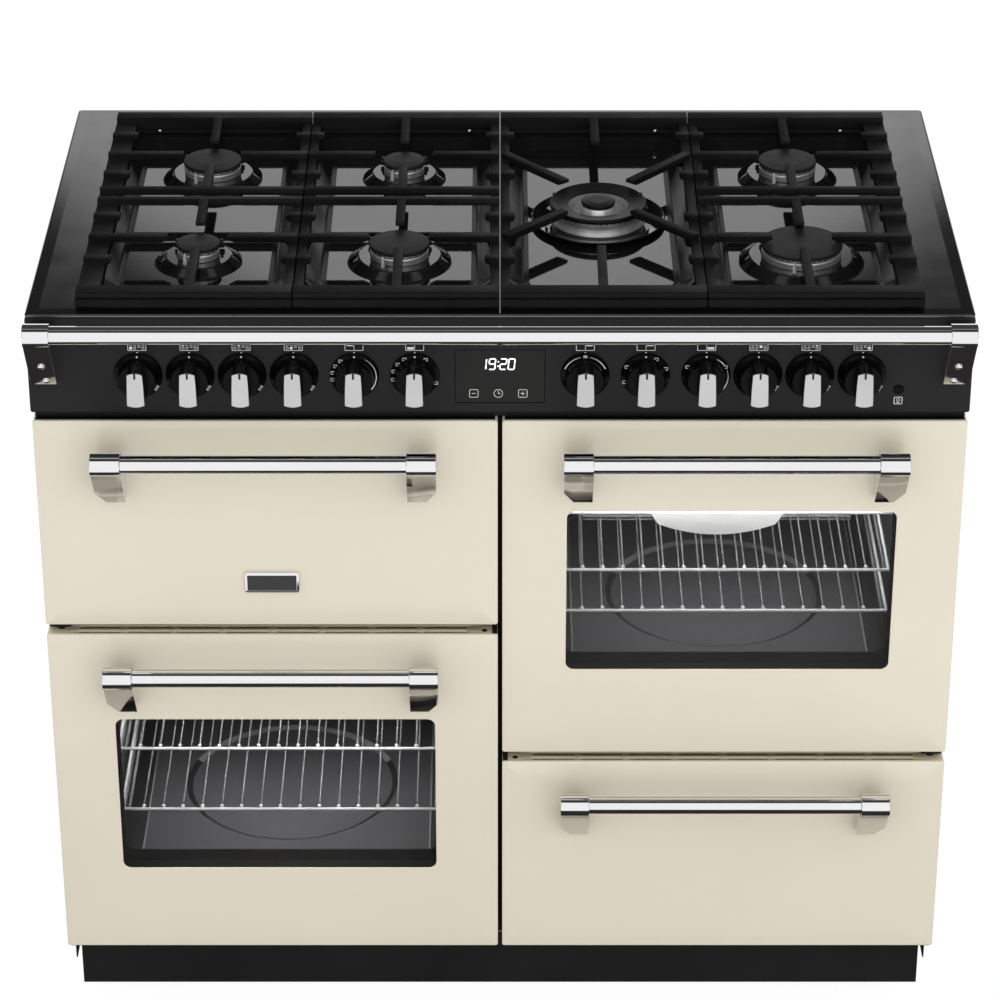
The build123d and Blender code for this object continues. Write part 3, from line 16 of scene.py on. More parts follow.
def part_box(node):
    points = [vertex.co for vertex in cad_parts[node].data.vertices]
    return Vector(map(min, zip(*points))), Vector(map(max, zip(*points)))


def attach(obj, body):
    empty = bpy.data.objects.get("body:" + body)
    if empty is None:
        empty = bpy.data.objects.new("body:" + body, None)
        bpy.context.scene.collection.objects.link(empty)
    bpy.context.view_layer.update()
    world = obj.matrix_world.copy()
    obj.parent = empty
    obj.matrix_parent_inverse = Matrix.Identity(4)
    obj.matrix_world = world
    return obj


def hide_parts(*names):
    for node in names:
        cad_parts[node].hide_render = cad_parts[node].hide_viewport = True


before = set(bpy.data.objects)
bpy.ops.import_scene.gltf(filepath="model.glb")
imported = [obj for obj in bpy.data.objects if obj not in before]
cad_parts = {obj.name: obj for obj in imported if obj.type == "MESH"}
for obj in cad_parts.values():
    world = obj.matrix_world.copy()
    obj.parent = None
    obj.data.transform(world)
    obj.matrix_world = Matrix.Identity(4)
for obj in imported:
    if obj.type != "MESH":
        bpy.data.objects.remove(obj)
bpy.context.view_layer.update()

MM = 0.001
QUARTER = math.pi / 2
KNOBS = range(1, 13)
# Steps round a turned shape
FINE = 96
ROUND = 72
log = logging.getLogger("range_cooker")

Colour = tuple[float, float, float]
Point2 = tuple[float, float]
Point3 = tuple[float, float, float]
Piece = bpy.types.Object


def span(node: str) -> tuple[Vector, Vector]:
    """Lowest and highest corner of a CAD node in millimetres."""
    low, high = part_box(node)
    return low / MM, high / MM


def middle(node: str) -> Vector:
    """Centre of a CAD node in millimetres."""
    low, high = span(node)
    return (low + high) / 2


def steps_to(low: float, high: float, spans: int) -> list[float]:
    """Even steps from low to high, both included."""
    return [low + (high - low) * i / spans for i in range(spans + 1)]


def link(made: Piece) -> Piece:
    """Put an object into the scene."""
    bpy.context.scene.collection.objects.link(made)
    return made


FRONT = span("hob_tray")[0].y
RIM = span("hob_tray")[1].z


def y_at(from_front: float) -> float:
    """Frame Y of a length behind the hob's front edge, in millimetres."""
    return FRONT + from_front


# Shader maths


class Value:
    """A shader socket that takes part in Python arithmetic."""

    def __init__(self, graph: "Graph", socket: bpy.types.NodeSocket) -> None:
        """Wrap a socket of a graph."""
        self.graph = graph
        self.socket = socket

    def __add__(self, other: Any) -> "Value":
        """Sum."""
        return self.graph.math("ADD", self, other)

    def __radd__(self, other: Any) -> "Value":
        """Sum with a number on the left."""
        return self.graph.math("ADD", other, self)

    def __sub__(self, other: Any) -> "Value":
        """Difference."""
        return self.graph.math("SUBTRACT", self, other)

    def __rsub__(self, other: Any) -> "Value":
        """Difference from a number on the left."""
        return self.graph.math("SUBTRACT", other, self)

    def __mul__(self, other: Any) -> "Value":
        """Product."""
        return self.graph.math("MULTIPLY", self, other)

    def __truediv__(self, other: Any) -> "Value":
        """Quotient."""
        return self.graph.math("DIVIDE", self, other)

    def __pow__(self, other: Any) -> "Value":
        """Power."""
        return self.graph.math("POWER", self, other)

    def over(self, low: float, high: float) -> "Value":
        """Smooth step from 0 at low to 1 at high."""
        inputs = {0: self, 1: low, 2: high, 3: 0.0, 4: 1.0}
        return self.graph.node("ShaderNodeMapRange", {"interpolation_type": "SMOOTHSTEP"}, inputs)


class Graph:
    """Nodes of one material or of the world."""

    def __init__(self, owner: bpy.types.Material | bpy.types.World) -> None:
        """Start from the owner's emptied tree.

        Args:
            owner: Material or world that holds the tree.
        """
        owner.use_nodes = True
        self.tree = owner.node_tree
        self.tree.nodes.clear()

    def node(
        self,
        kind: str,
        settings: dict[str, Any] | None = None,
        inputs: dict[Any, Any] | None = None,
        output: Any = 0,
    ) -> Value:
        """Add any node.

        Args:
            kind: Blender's type name of the node.
            settings: Properties of the node, set first.
            inputs: Values or links by socket name or index.
            output: Name or index of the output to return.

        Returns:
            The chosen output as a value.
        """
        made = self.tree.nodes.new(kind)
        for name, setting in (settings or {}).items():
            setattr(made, name, setting)
        for key, value in (inputs or {}).items():
            if isinstance(value, Value):
                self.tree.links.new(value.socket, made.inputs[key])
            else:
                made.inputs[key].default_value = value
        outputs = made.outputs
        return Value(self, outputs[output] if len(outputs) else made.inputs[0])

    def math(self, operation: str, first: Any, second: Any) -> Value:
        """One Math node."""
        return self.node("ShaderNodeMath", {"operation": operation}, {0: first, 1: second})

    def mix(self, factor: Any, first: Any, second: Any) -> Value:
        """Blend of two colours."""
        return self.node("ShaderNodeMix", {"data_type": "RGBA"}, {0: factor, 6: first, 7: second}, 2)

    def place(self, scale: Point3 = (1.0, 1.0, 1.0)) -> Value:
        """Object coordinates, stretched by a scale."""
        where = self.node("ShaderNodeTexCoord", output="Object")
        return self.node("ShaderNodeMapping", inputs={"Vector": where, "Scale": scale})

    def noise(self, scale: float, detail: float = 3.0, stretch: Point3 = (1.0, 1.0, 1.0)) -> Value:
        """Soft noise between 0 and 1 on Object coordinates."""
        inputs = {"Vector": self.place(stretch), "Scale": scale, "Detail": detail}
        return self.node("ShaderNodeTexNoise", inputs=inputs)

    def axes(self, where: Value) -> list[Value]:
        """X, Y and Z of a vector."""
        parts = self.node("ShaderNodeSeparateXYZ", inputs={0: where}).socket.node.outputs
        return [Value(self, part) for part in parts]

    def rays(self, kind: str) -> Value:
        """1 on rays of one kind."""
        return self.node("ShaderNodeLightPath", output=f"Is {kind} Ray")

    def seen(self) -> Value:
        """1 on rays that show the background: camera, glossy and transmission rays."""
        rays = self.rays("Camera") + self.rays("Glossy") + self.rays("Transmission")
        return self.math("MINIMUM", rays, 1.0)


# Finishes


COAT_ROUGHNESS = 0.04
SMUDGE_DETAIL = 5.0
DRIFT_BAND = (0.3, 0.7)
SPECK_SCALE = 900.0
SPECK_BAND = (0.68, 0.72)
SPECK_TINT = (2.6, 0.05)


class Grain(Enum):
    """Fine relief of a surface: scale, detail and stretch of its noise."""

    SMOOTH = ()
    PEEL = (160.0, 2.0)
    CAST = (420.0, 6.0)
    SPECKLE = (220.0, 3.0)
    BRUSHED_X = (60.0, 6.0, (0.3, 30.0, 30.0))
    BRUSHED_Z = (60.0, 6.0, (30.0, 30.0, 0.3))


@dataclass(frozen=True)
class Finish:
    """One surface finish and how it varies."""

    name: str
    colour: Colour
    roughness: float
    metallic: float = 0.0
    coat: float = 0.0
    drift: float = 0.06
    drift_scale: float = 9.0
    smudge: float = 0.04
    smudge_scale: float = 23.0
    grain: Grain = Grain.PEEL
    depth: float = 0.02
    ior: float = 1.5
    alpha: float = 1.0
    glow: float = 0.0

    def material(self) -> bpy.types.Material:
        """The Blender material, made once.

        Returns:
            The material.
        """
        made = bpy.data.materials.get(self.name)
        if made:
            return made
        made = bpy.data.materials.new(self.name)
        graph = Graph(made)
        colour, smudges = self._colour(graph), graph.noise(self.smudge_scale, SMUDGE_DETAIL)
        inputs: dict[Any, Any] = {
            "Base Color": colour,
            "Roughness": self.roughness + (smudges - 0.5) * (2 * self.smudge),
            "Metallic": self.metallic,
            "IOR": self.ior,
            "Coat Weight": self.coat,
            "Coat Roughness": COAT_ROUGHNESS,
            "Alpha": self.alpha,
        }
        if self.glow:
            inputs |= {"Emission Color": (*self.colour, 1.0), "Emission Strength": self.glow}
        if self.grain is not Grain.SMOOTH:
            relief = {"Strength": self.depth, "Distance": MM, "Height": graph.noise(*self.grain.value)}
            inputs["Normal"] = graph.node("ShaderNodeBump", inputs=relief)
        shader = graph.node("ShaderNodeBsdfPrincipled", inputs=inputs)
        graph.node("ShaderNodeOutputMaterial", inputs={"Surface": shader})
        made.diffuse_color = (*self.colour, 1.0)
        return made

    def _tint(self, share: float, lift: float = 0.0) -> tuple[float, ...]:
        """The colour times a share plus a lift, opaque."""
        return (*(min(1.0, c * share + lift) for c in self.colour), 1.0)

    def _colour(self, graph: Graph) -> Value:
        """Base colour with a slow drift and, on enamel, pale specks.

        Args:
            graph: Graph of the material.

        Returns:
            The colour as a value.
        """
        drift = graph.noise(self.drift_scale).over(*DRIFT_BAND)
        colour = graph.mix(drift, self._tint(1 - self.drift), self._tint(1 + self.drift))
        if self.grain is Grain.SPECKLE:
            specks = graph.noise(SPECK_SCALE, 1.0).over(*SPECK_BAND)
            colour = graph.mix(specks, colour, self._tint(*SPECK_TINT))
        return colour


def grey(level: float) -> Colour:
    """Neutral colour of one level."""
    return (level, level, level)


ENAMEL_BLACK = (0.004, 0.004, 0.0042)
CREAM = Finish(
    "cream_enamel", (0.664, 0.613, 0.500), 0.24, coat=0.3, drift=0.012, drift_scale=4.0, depth=0.03
)
HOB_BLACK = Finish("hob_black_enamel", ENAMEL_BLACK, 0.05, ior=1.8, drift=0.1, smudge=0.015, depth=0.008)
HOB_MARGIN = Finish("hob_margin_enamel", ENAMEL_BLACK, 0.1, ior=2.0, grain=Grain.CAST, depth=0.012)
WELL_SLOPE = Finish("well_slope_enamel", ENAMEL_BLACK, 0.2, ior=1.21, drift=0.1, depth=0.01)
IRON = Finish(
    "cast_iron_enamel", (0.0045, 0.0045, 0.0047), 0.6,
    ior=1.26, drift=0.25, smudge=0.1, grain=Grain.CAST, depth=0.4,
)
CHROME = Finish("polished_chrome", (0.81, 0.81, 0.82), 0.045, 1.0, drift=0.01, smudge=0.015, depth=0.004)
WIRE = Finish("bright_wire", (0.80, 0.80, 0.81), 0.2, 1.0, drift=0.04, smudge=0.05)
# Whiter, partly diffuse copy of the chrome wire for shelf frames and beads: painted highlight so they read
# bright.
LIT_SHELF_WIRE = Finish("shelf_wire", grey(0.9), 0.22, 0.4, drift=0.04, smudge=0.05)
CROSS_WIRE = Finish("cross_wire", (0.8, 0.8, 0.81), 0.2, 0.84, drift=0.04, smudge=0.05)
FASCIA_BLACK = Finish("fascia_satin_black", grey(0.0135), 0.34, ior=1.24, drift=0.05, depth=0.03)
GLOSS_BLACK = Finish("gloss_black_moulding", grey(0.002), 0.2, ior=1.19, drift=0.1, depth=0.01)
GLASS_BLACK = Finish(
    "clock_black_glass", (0.012, 0.012, 0.0112), 0.1, ior=1.25, drift=0.1, grain=Grain.SMOOTH
)
GRIP_METAL = Finish(
    "grip_satin_metal", (0.57, 0.565, 0.57), 0.24, 1.0, drift=0.05, grain=Grain.BRUSHED_Z, depth=0.1
)
ALUMINIUM = Finish("burner_aluminium", (0.64, 0.64, 0.65), 0.26, 0.62, smudge=0.06, depth=0.04)
CAP_BLACK = Finish(
    "burner_cap_enamel", (0.0095, 0.0095, 0.01), 0.5, ior=1.35, grain=Grain.CAST, depth=0.25, drift=0.2
)
WOK_BLACK = Finish(
    "wok_cap_enamel", grey(0.0035), 0.4, ior=1.3, grain=Grain.CAST, depth=0.15, drift=0.2
)
# Darker cream for the vented doors' top faces: painted shade of the gap below the door above.
SHADED_CREAM_TOP = Finish("door_top_painted_shade", (0.6, 0.53, 0.39), 0.4, drift=0.03, depth=0.03)
# Metal strip whose bright line is a painted highlight for the hob's front edge.
EDGE_HIGHLIGHT = Finish("hob_edge_highlight_metal", grey(0.3), 0.4, 1.0, drift=0.05, grain=Grain.BRUSHED_X, depth=0.05)
PROBE_WHITE = Finish("probe_ceramic", (0.5, 0.5, 0.49), 0.35, drift=0.04)
SPARK_BLACK = Finish("electrode_black", grey(0.01), 0.35, drift=0.1)
CAVITY = Finish("cavity_enamel", grey(0.095), 0.24, grain=Grain.SPECKLE, depth=0.05, drift=0.08)
# Darker enamel where the cavity floor turns up into the walls: painted shade of that corner.
COVE_SHADE = Finish("floor_cove_painted_shade", grey(0.022), 0.3, drift=0.1, depth=0.04)
# Painted shade and painted light on the same floor enamel: the ring's dark sides, the ring's back and the
# bead.
RING_DARK = Finish("floor_ring_shade", grey(0.014), 0.3, drift=0.1, depth=0.04)
RING_LIT = Finish("floor_ring_painted_light", grey(0.17), 0.3, depth=0.04)
LINER = Finish("door_liner_enamel", (0.05, 0.05, 0.052), 0.22, grain=Grain.SPECKLE, depth=0.04)
PANE = Finish("oven_glass", grey(0.01), 0.03, alpha=0.1, drift=0.05, smudge=0.01, grain=Grain.SMOOTH)
RUBBER = Finish("seal_rubber", grey(0.012), 0.7, smudge=0.08, grain=Grain.CAST, depth=0.15)
BLACK_PAINT = Finish("black_paint", grey(0.006), 0.5, ior=1.3, drift=0.12, depth=0.05)
SIDE_PAINT = Finish("side_satin_black", (0.014, 0.014, 0.0145), 0.42, ior=1.35, drift=0.08, depth=0.06)
ZINC = Finish("galvanised_sheet", (0.52, 0.53, 0.54), 0.4, 0.9, drift=0.16, drift_scale=55.0, smudge=0.1)
STEEL = Finish("plated_steel", (0.46, 0.46, 0.47), 0.3, 1.0, drift=0.08, grain=Grain.BRUSHED_X, depth=0.06)
BRASS = Finish("tap_brass", (0.55, 0.42, 0.2), 0.3, 1.0, drift=0.1)
SHEATH = Finish("element_sheath", (0.14, 0.13, 0.12), 0.5, 0.7, drift=0.2, grain=Grain.CAST, depth=0.1)
MOULDING = Finish("matt_moulding", grey(0.03), 0.55, grain=Grain.CAST, depth=0.12)
BADGE_DARK = Finish("badge_dark_field", grey(0.02), 0.4, depth=0.03)
INK = Finish("white_ink", (0.78, 0.78, 0.76), 0.5, drift=0.03, grain=Grain.SMOOTH)
DIGITS = Finish("lit_digits", (0.95, 0.97, 1.0), 0.5, glow=1.1, drift=0.01, grain=Grain.SMOOTH)
PLATE_WHITE = Finish("white_enamel_plate", (0.78, 0.78, 0.77), 0.3, coat=0.3, drift=0.02)
# Near-black for the door stop's own black, and for painted shade in ports, holes, notches and under the
# supports.
BLACK_AND_SHADE = Finish("black_part_and_painted_shade", grey(0.003), 0.8, drift=0.2, grain=Grain.CAST, depth=0.1)


# Meshes


class Turn(Enum):
    """Axis that a turned shape runs along, away from its seat."""

    RIGHT = "towards +X"
    OUT = "towards the viewer"
    UP = "towards +Z"


def rounded(points: Sequence[Point2], radius: float, steps: int = 5, guard: float = 0.25) -> list[Point2]:
    """Round the inner corners of an open profile.

    Args:
        points: Corners in order.
        radius: Largest radius of a corner.
        steps: Spans of each arc.
        guard: Length of the flat kept beside each arc, so that long flats shade flat.

    Returns:
        The profile with an arc and its guard points in place of each corner.
    """
    made = [points[0]]
    for before, corner, after in zip(points, points[1:], points[2:]):
        here = Vector(corner)
        back, on = Vector(before) - here, Vector(after) - here
        turn = math.pi - back.angle(on)
        room = 0.42 * min(back.length, on.length)
        reach = min(radius * math.tan(turn / 2), room)
        start, end = here + back.normalized() * reach, here + on.normalized() * reach
        lead = min(guard, room - reach + 0.01)
        made.append(tuple(start + back.normalized() * lead))
        for t in steps_to(0.0, 1.0, steps):
            made.append(tuple(start * (1 - t) ** 2 + here * (2 * t * (1 - t)) + end * t**2))
        made.append(tuple(end + on.normalized() * lead))
    made.append(points[-1])
    return made


def round_rect(centre: Point2, size: Point2, corner: float, steps: int = 8) -> list[Point2]:
    """Points round a rectangle with rounded corners.

    Args:
        centre: Middle of the rectangle.
        size: Its width and height.
        corner: Radius of its corners.
        steps: Spans of each corner.

    Returns:
        The points, anticlockwise from the right end of the foot.
    """
    half = (size[0] / 2, size[1] / 2)
    corner = max(0.05, min(corner, half[0] - 0.01, half[1] - 0.01))
    points = []
    for quarter, (sx, sy) in enumerate(((1, -1), (1, 1), (-1, 1), (-1, -1))):
        x, y = centre[0] + sx * (half[0] - corner), centre[1] + sy * (half[1] - corner)
        for angle in steps_to(QUARTER * (quarter - 1), QUARTER * quarter, steps):
            points.append((x + corner * math.cos(angle), y + corner * math.sin(angle)))
    return points


def circle(centre: Point2, radius: float, steps: int = 48) -> list[Point2]:
    """Points round a circle."""
    turns = [2 * math.pi * i / steps for i in range(steps)]
    return [(centre[0] + radius * math.cos(a), centre[1] + radius * math.sin(a)) for a in turns]


@dataclass(frozen=True)
class Rect:
    """A rounded rectangle and the rings at an inset from it; its corners shrink with the inset by ease."""

    centre: Point2
    size: Point2
    corner: float
    ease: float = 1.0
    steps: int = 8

    @classmethod
    def facing(cls, node: str, corner: float, less: float = 0.0, **more: Any) -> "Rect":
        """Front view of a CAD node.

        Args:
            node: Name of the node.
            corner: Radius of the corners.
            less: Length taken off the width and the height.
            more: Other fields.

        Returns:
            The rectangle.
        """
        low, high = span(node)
        size = (high.x - low.x - less, high.z - low.z - less)
        return cls(((low.x + high.x) / 2, (low.z + high.z) / 2), size, corner, **more)

    def outline(self, inset: float) -> list[Point2]:
        """Points at an inset."""
        size = (self.size[0] - 2 * inset, self.size[1] - 2 * inset)
        return round_rect(self.centre, size, self.corner - self.ease * inset, self.steps)

    def front(self, profile: Iterable[Point2]) -> list[list[Point3]]:
        """Upright rings by inset and Y."""
        return [[(x, y, z) for x, z in self.outline(inset)] for inset, y in profile]

    def plan(self, profile: Iterable[Point2]) -> list[list[Point3]]:
        """Level rings by inset and height above the hob's rim."""
        return [[(x, y, RIM + height) for x, y in self.outline(inset)] for inset, height in profile]


class Mould:
    """A mesh under construction, in millimetres of the shared frame."""

    def __init__(self) -> None:
        """Start empty."""
        self.bm = bmesh.new()

    def loop(self, points: Iterable[Point3]) -> list[bmesh.types.BMVert]:
        """Vertices along points, joined by edges into a closed loop.

        Args:
            points: Points in order.

        Returns:
            The vertices.
        """
        verts = [self.bm.verts.new(Vector(p)) for p in points]
        for a, b in zip(verts, verts[1:] + verts[:1]) if len(verts) > 1 else []:
            self.bm.edges.new((a, b))
        return verts

    def bridge(self, first: list, second: list, skip: Iterable[int] = ()) -> None:
        """Faces between two closed loops of equal length, or a loop and a single point.

        Args:
            first: Vertices of one loop.
            second: Vertices of the other.
            skip: Sides left open.
        """
        count = max(len(first), len(second))
        for i in range(count):
            j = (i + 1) % count
            if i in skip:
                continue
            if len(first) == 1:
                self.bm.faces.new((first[0], second[j], second[i]))
            elif len(second) == 1:
                self.bm.faces.new((first[i], first[j], second[0]))
            else:
                self.bm.faces.new((first[i], first[j], second[j], second[i]))

    def fill(self, *loops: list, index: int = 0) -> None:
        """Flat face inside the first loop and outside the others.

        Args:
            loops: Closed loops in one plane, the outer one first.
            index: Material slot of the faces.
        """
        verts = [vert for loop in loops for vert in loop]
        reach = [max(v.co[axis] for v in verts) - min(v.co[axis] for v in verts) for axis in range(3)]
        first, second = [axis for axis in range(3) if axis != reach.index(min(reach))]
        flat = [Vector((v.co[first], v.co[second])) for v in verts]
        owners = [number for number, loop in enumerate(loops) for _ in loop]
        outlines, start = [], 0
        for loop in loops:
            order = list(range(start, start + len(loop)))
            turn = sum(flat[a].cross(flat[b]) for a, b in zip(order, order[1:] + order[:1]))
            outlines.append(order if turn > 0 else order[::-1])
            start += len(loop)
        triangles_inside = 1
        made = delaunay_2d_cdt(flat, [], outlines, triangles_inside, 1e-5)
        for corners in made[2]:
            ends = [made[3][i][0] for i in corners]
            held_by = {owners[i] for i in ends}
            if len(held_by) > 1 or 0 in held_by:
                self.bm.faces.new([verts[i] for i in ends]).material_index = index

    def rings(
        self, rings: Iterable[Sequence[Point3]], skip: Iterable[int] = (), index: int = 0
    ) -> tuple[list, list]:
        """Bridged loops.

        Args:
            rings: Points of each loop.
            skip: Sides left open.
            index: Material slot of the faces.

        Returns:
            The first and the last loop.
        """
        start = len(self.bm.faces)
        made = [self.loop(points) for points in rings]
        for a, b in zip(made, made[1:]):
            self.bridge(a, b, skip)
        self.paint(start, index)
        return made[0], made[-1]

    def paint(self, start: int, index: int) -> None:
        """Give the faces made after a count of faces one material slot."""
        for face in list(self.bm.faces)[start:] if index else []:
            face.material_index = index

    def turned(
        self,
        profile: Sequence[Point2],
        turn: Turn,
        seat: Point3,
        steps: int = 64,
        skip: Iterable[int] = (),
        index: int = 0,
    ) -> tuple[list, list]:
        """Shape turned about an axis through a seat.

        Args:
            profile: Radius and height points, from the seat outwards.
            turn: Direction of the axis.
            seat: Point where the axis starts.
            steps: Sides of the turned shape.
            skip: Sides left open.
            index: Material slot of the faces.

        Returns:
            The first and the last loop.
        """
        def ring(radius: float, along: float) -> list[Point3]:
            """Points of the shape at one height.

            Args:
                radius: Radius there.
                along: Height above the seat.

            Returns:
                The points, or the one point on the axis.
            """
            points = circle((0.0, 0.0), radius, steps) if radius > 1e-6 else [(0.0, 0.0)]
            if turn is Turn.RIGHT:
                return [(seat[0] + along, seat[1] + u, seat[2] + v) for u, v in points]
            if turn is Turn.OUT:
                return [(seat[0] + u, seat[1] - along, seat[2] + v) for u, v in points]
            return [(seat[0] + u, seat[1] + v, seat[2] + along) for u, v in points]

        return self.rings([ring(*point) for point in profile], skip, index)

    def solid(self, rings: Iterable[Sequence[Point3]], index: int = 0) -> None:
        """Closed stack of rings.

        Args:
            rings: Points of each loop.
            index: Material slot of the last end.
        """
        first, last = self.rings(rings)
        self.fill(first)
        self.fill(last, index=index)

    def prism(self, outline: Sequence[Point3], push: Point3, index: int = 0) -> None:
        """Closed prism of a planar outline pushed along a vector.

        Args:
            outline: Points of the outline.
            push: From the outline to its copy.
            index: Material slot.
        """
        start = len(self.bm.faces)
        self.solid([outline, [tuple(Vector(p) + Vector(push)) for p in outline]])
        self.paint(start, index)

    def box(self, low: Point3, high: Point3, index: int = 0) -> None:
        """Block between two corners."""
        (x, y, z), (_, far, top) = low, high
        self.prism([(x, y, z), (x, far, z), (x, far, top), (x, y, top)], (high[0] - x, 0.0, 0.0), index)

    def cut(self, point: Point3, normal: Point3) -> None:
        """Take off what lies on the normal's side of a plane, and close the cut.

        Args:
            point: Point in the plane.
            normal: Side that is taken off.
        """
        made = bmesh.ops.bisect_plane(
            self.bm,
            geom=[*self.bm.verts, *self.bm.edges, *self.bm.faces],
            plane_co=Vector(point),
            plane_no=Vector(normal),
            clear_outer=True,
        )
        rim = [item for item in made["geom_cut"] if isinstance(item, bmesh.types.BMEdge)]
        bmesh.ops.edgeloop_fill(self.bm, edges=rim)

    def take(self, node: str) -> None:
        """Copy of a CAD node's mesh, merged into whole faces.

        Args:
            node: Name of the node.
        """
        self.bm.from_mesh(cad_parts[node].data)
        verts, edges = self.bm.verts, self.bm.edges
        bmesh.ops.scale(self.bm, vec=Vector((1, 1, 1)) / MM, verts=verts)
        bmesh.ops.remove_doubles(self.bm, verts=verts, dist=0.001)
        bmesh.ops.dissolve_limit(self.bm, angle_limit=math.radians(0.5), verts=verts, edges=edges)

    def piece(
        self, name: str, *finishes: Finish, wall: float = 0.0, bevel: float = 0.0, crease: float = 180.0
    ) -> Piece:
        """Turn the mesh into an object with its finishes.

        Args:
            name: Name of the piece.
            finishes: Finishes in slot order.
            wall: Sheet thickness added inwards, where the mesh is a skin.
            bevel: Width of rounded edges.
            crease: Angle above which an edge shades sharp.

        Returns:
            The finished object, with no modifier left.
        """
        bmesh.ops.recalc_face_normals(self.bm, faces=self.bm.faces)
        bmesh.ops.scale(self.bm, vec=Vector((1, 1, 1)) * MM, verts=self.bm.verts)
        mesh = bpy.data.meshes.new(name)
        self.bm.to_mesh(mesh)
        self.bm.free()
        for polygon in mesh.polygons:
            polygon.use_smooth = True
        if crease < 180:
            mesh.set_sharp_from_angle(angle=math.radians(crease))
        made = link(bpy.data.objects.new(name, mesh))
        for finish in finishes:
            mesh.materials.append(finish.material())
        if wall:
            solid = made.modifiers.new("wall", "SOLIDIFY")
            solid.thickness = wall * MM
            solid.offset = -1.0
        if bevel:
            edge = made.modifiers.new("edge", "BEVEL")
            edge.width = bevel * MM
            edge.segments = 2
            edge.limit_method = "ANGLE"
            edge.angle_limit = math.radians(32)
            edge.harden_normals = True
        return settle(made)


def settle(made: Piece) -> Piece:
    """Keep an object's evaluated mesh and drop its modifiers.

    Args:
        made: The object.

    Returns:
        The same object.
    """
    if made.modifiers:
        graph = bpy.context.evaluated_depsgraph_get()
        mesh = bpy.data.meshes.new_from_object(made.evaluated_get(graph))
        made.modifiers.clear()
        made.data = mesh
    return made


# Repeats


class Pattern:
    """A Geometry Nodes tree with named inputs, run on a list of places and kept as a plain mesh."""

    def __init__(self, name: str) -> None:
        """Make a tree with geometry in and out and a finish.

        Args:
            name: Name of the tree.
        """
        self.tree = bpy.data.node_groups.new(name, "GeometryNodeTree")
        self.tree.interface.new_socket("Places", in_out="INPUT", socket_type="NodeSocketGeometry")
        self.tree.interface.new_socket("Pieces", in_out="OUTPUT", socket_type="NodeSocketGeometry")
        self.names: dict[str, str] = {}
        self.lengths: set[str] = set()
        self.source = self.tree.nodes.new("NodeGroupInput")
        self.finish = self.input("Finish", "Material")

    def input(self, name: str, kind: str) -> bpy.types.NodeSocket:
        """Add a named input.

        Args:
            name: Name of the input.
            kind: Kind of socket; floats and vectors are lengths.

        Returns:
            Its socket inside the tree.
        """
        made = self.tree.interface.new_socket(name, in_out="INPUT", socket_type=f"NodeSocket{kind}")
        self.names[name] = made.identifier
        if kind in ("Float", "Vector"):
            self.lengths.add(name)
        return self.source.outputs[name]

    def node(self, kind: str, inputs: dict[Any, Any], **settings: Any) -> bpy.types.NodeSocket:
        """Add a node.

        Args:
            kind: Blender's type name of the node.
            inputs: Values or sockets by name or index.
            settings: Properties of the node.

        Returns:
            Its first output.
        """
        made = self.tree.nodes.new(kind)
        for name, setting in settings.items():
            setattr(made, name, setting)
        for key, value in inputs.items():
            if isinstance(value, bpy.types.NodeSocket):
                self.tree.links.new(value, made.inputs[key])
            else:
                made.inputs[key].default_value = value
        return made.outputs[0]

    def close(self, instance: bpy.types.NodeSocket, **links: Any) -> "Pattern":
        """End the tree: set the instance on the places, realize, shade smooth and set the finish.

        Args:
            instance: What is set on each place.
            links: Other inputs of that node.

        Returns:
            The pattern.
        """
        links |= {"Points": self.source.outputs[0], "Instance": instance}
        placed = self.node("GeometryNodeInstanceOnPoints", links)
        real = self.node("GeometryNodeRealizeInstances", {"Geometry": placed})
        smooth = self.node("GeometryNodeSetShadeSmooth", {"Geometry": real})
        dressed = self.node("GeometryNodeSetMaterial", {"Geometry": smooth, "Material": self.finish})
        out = self.tree.nodes.new("NodeGroupOutput")
        self.tree.links.new(dressed, out.inputs[0])
        return self

    def run(self, name: str, places: Sequence[Point3], finish: Finish, **values: Any) -> Piece:
        """Make the repeats at the places.

        Args:
            name: Name of the piece.
            places: Points in millimetres.
            finish: Finish of the repeats.
            values: Inputs by name, lengths in millimetres.

        Returns:
            One plain mesh object.
        """
        mesh = bpy.data.meshes.new(name)
        mesh.from_pydata([Vector(p) * MM for p in places], [], [])
        made = link(bpy.data.objects.new(name, mesh))
        modifier = made.modifiers.new("repeat", "NODES")
        modifier.node_group = self.tree
        modifier[self.names["Finish"]] = finish.material()
        for key, value in values.items():
            if key in self.lengths:
                value = tuple(v * MM for v in value) if isinstance(value, tuple) else value * MM
            modifier[self.names[key]] = value
        return settle(made)


@cache
def rods() -> Pattern:
    """Round wires of one length and direction.

    Returns:
        The pattern, made once.
    """
    made = Pattern("rods")
    reach, radius = made.input("Reach", "Vector"), made.input("Radius", "Float")
    line = made.node("GeometryNodeCurvePrimitiveLine", {"End": reach})
    ring = made.node("GeometryNodeCurvePrimitiveCircle", {"Resolution": 10, "Radius": radius})
    links = {"Curve": line, "Profile Curve": ring, "Fill Caps": True}
    return made.close(made.node("GeometryNodeCurveToMesh", links))


@cache
def heads() -> Pattern:
    """Domed fastener heads, facing one way.

    Returns:
        The pattern, made once.
    """
    made = Pattern("heads")
    radius, height = made.input("Radius", "Float"), made.input("Height", "Float")
    facing = made.input("Facing", "Rotation")
    ball = made.node("GeometryNodeMeshUVSphere", {"Segments": 18, "Rings": 10, "Radius": radius})
    share = made.node("ShaderNodeMath", {0: height, 1: radius}, operation="DIVIDE")
    flat = made.node("ShaderNodeCombineXYZ", {"X": 1.0, "Y": 1.0, "Z": share})
    dome = made.node("GeometryNodeTransform", {"Geometry": ball, "Scale": flat})
    return made.close(dome, Rotation=facing)


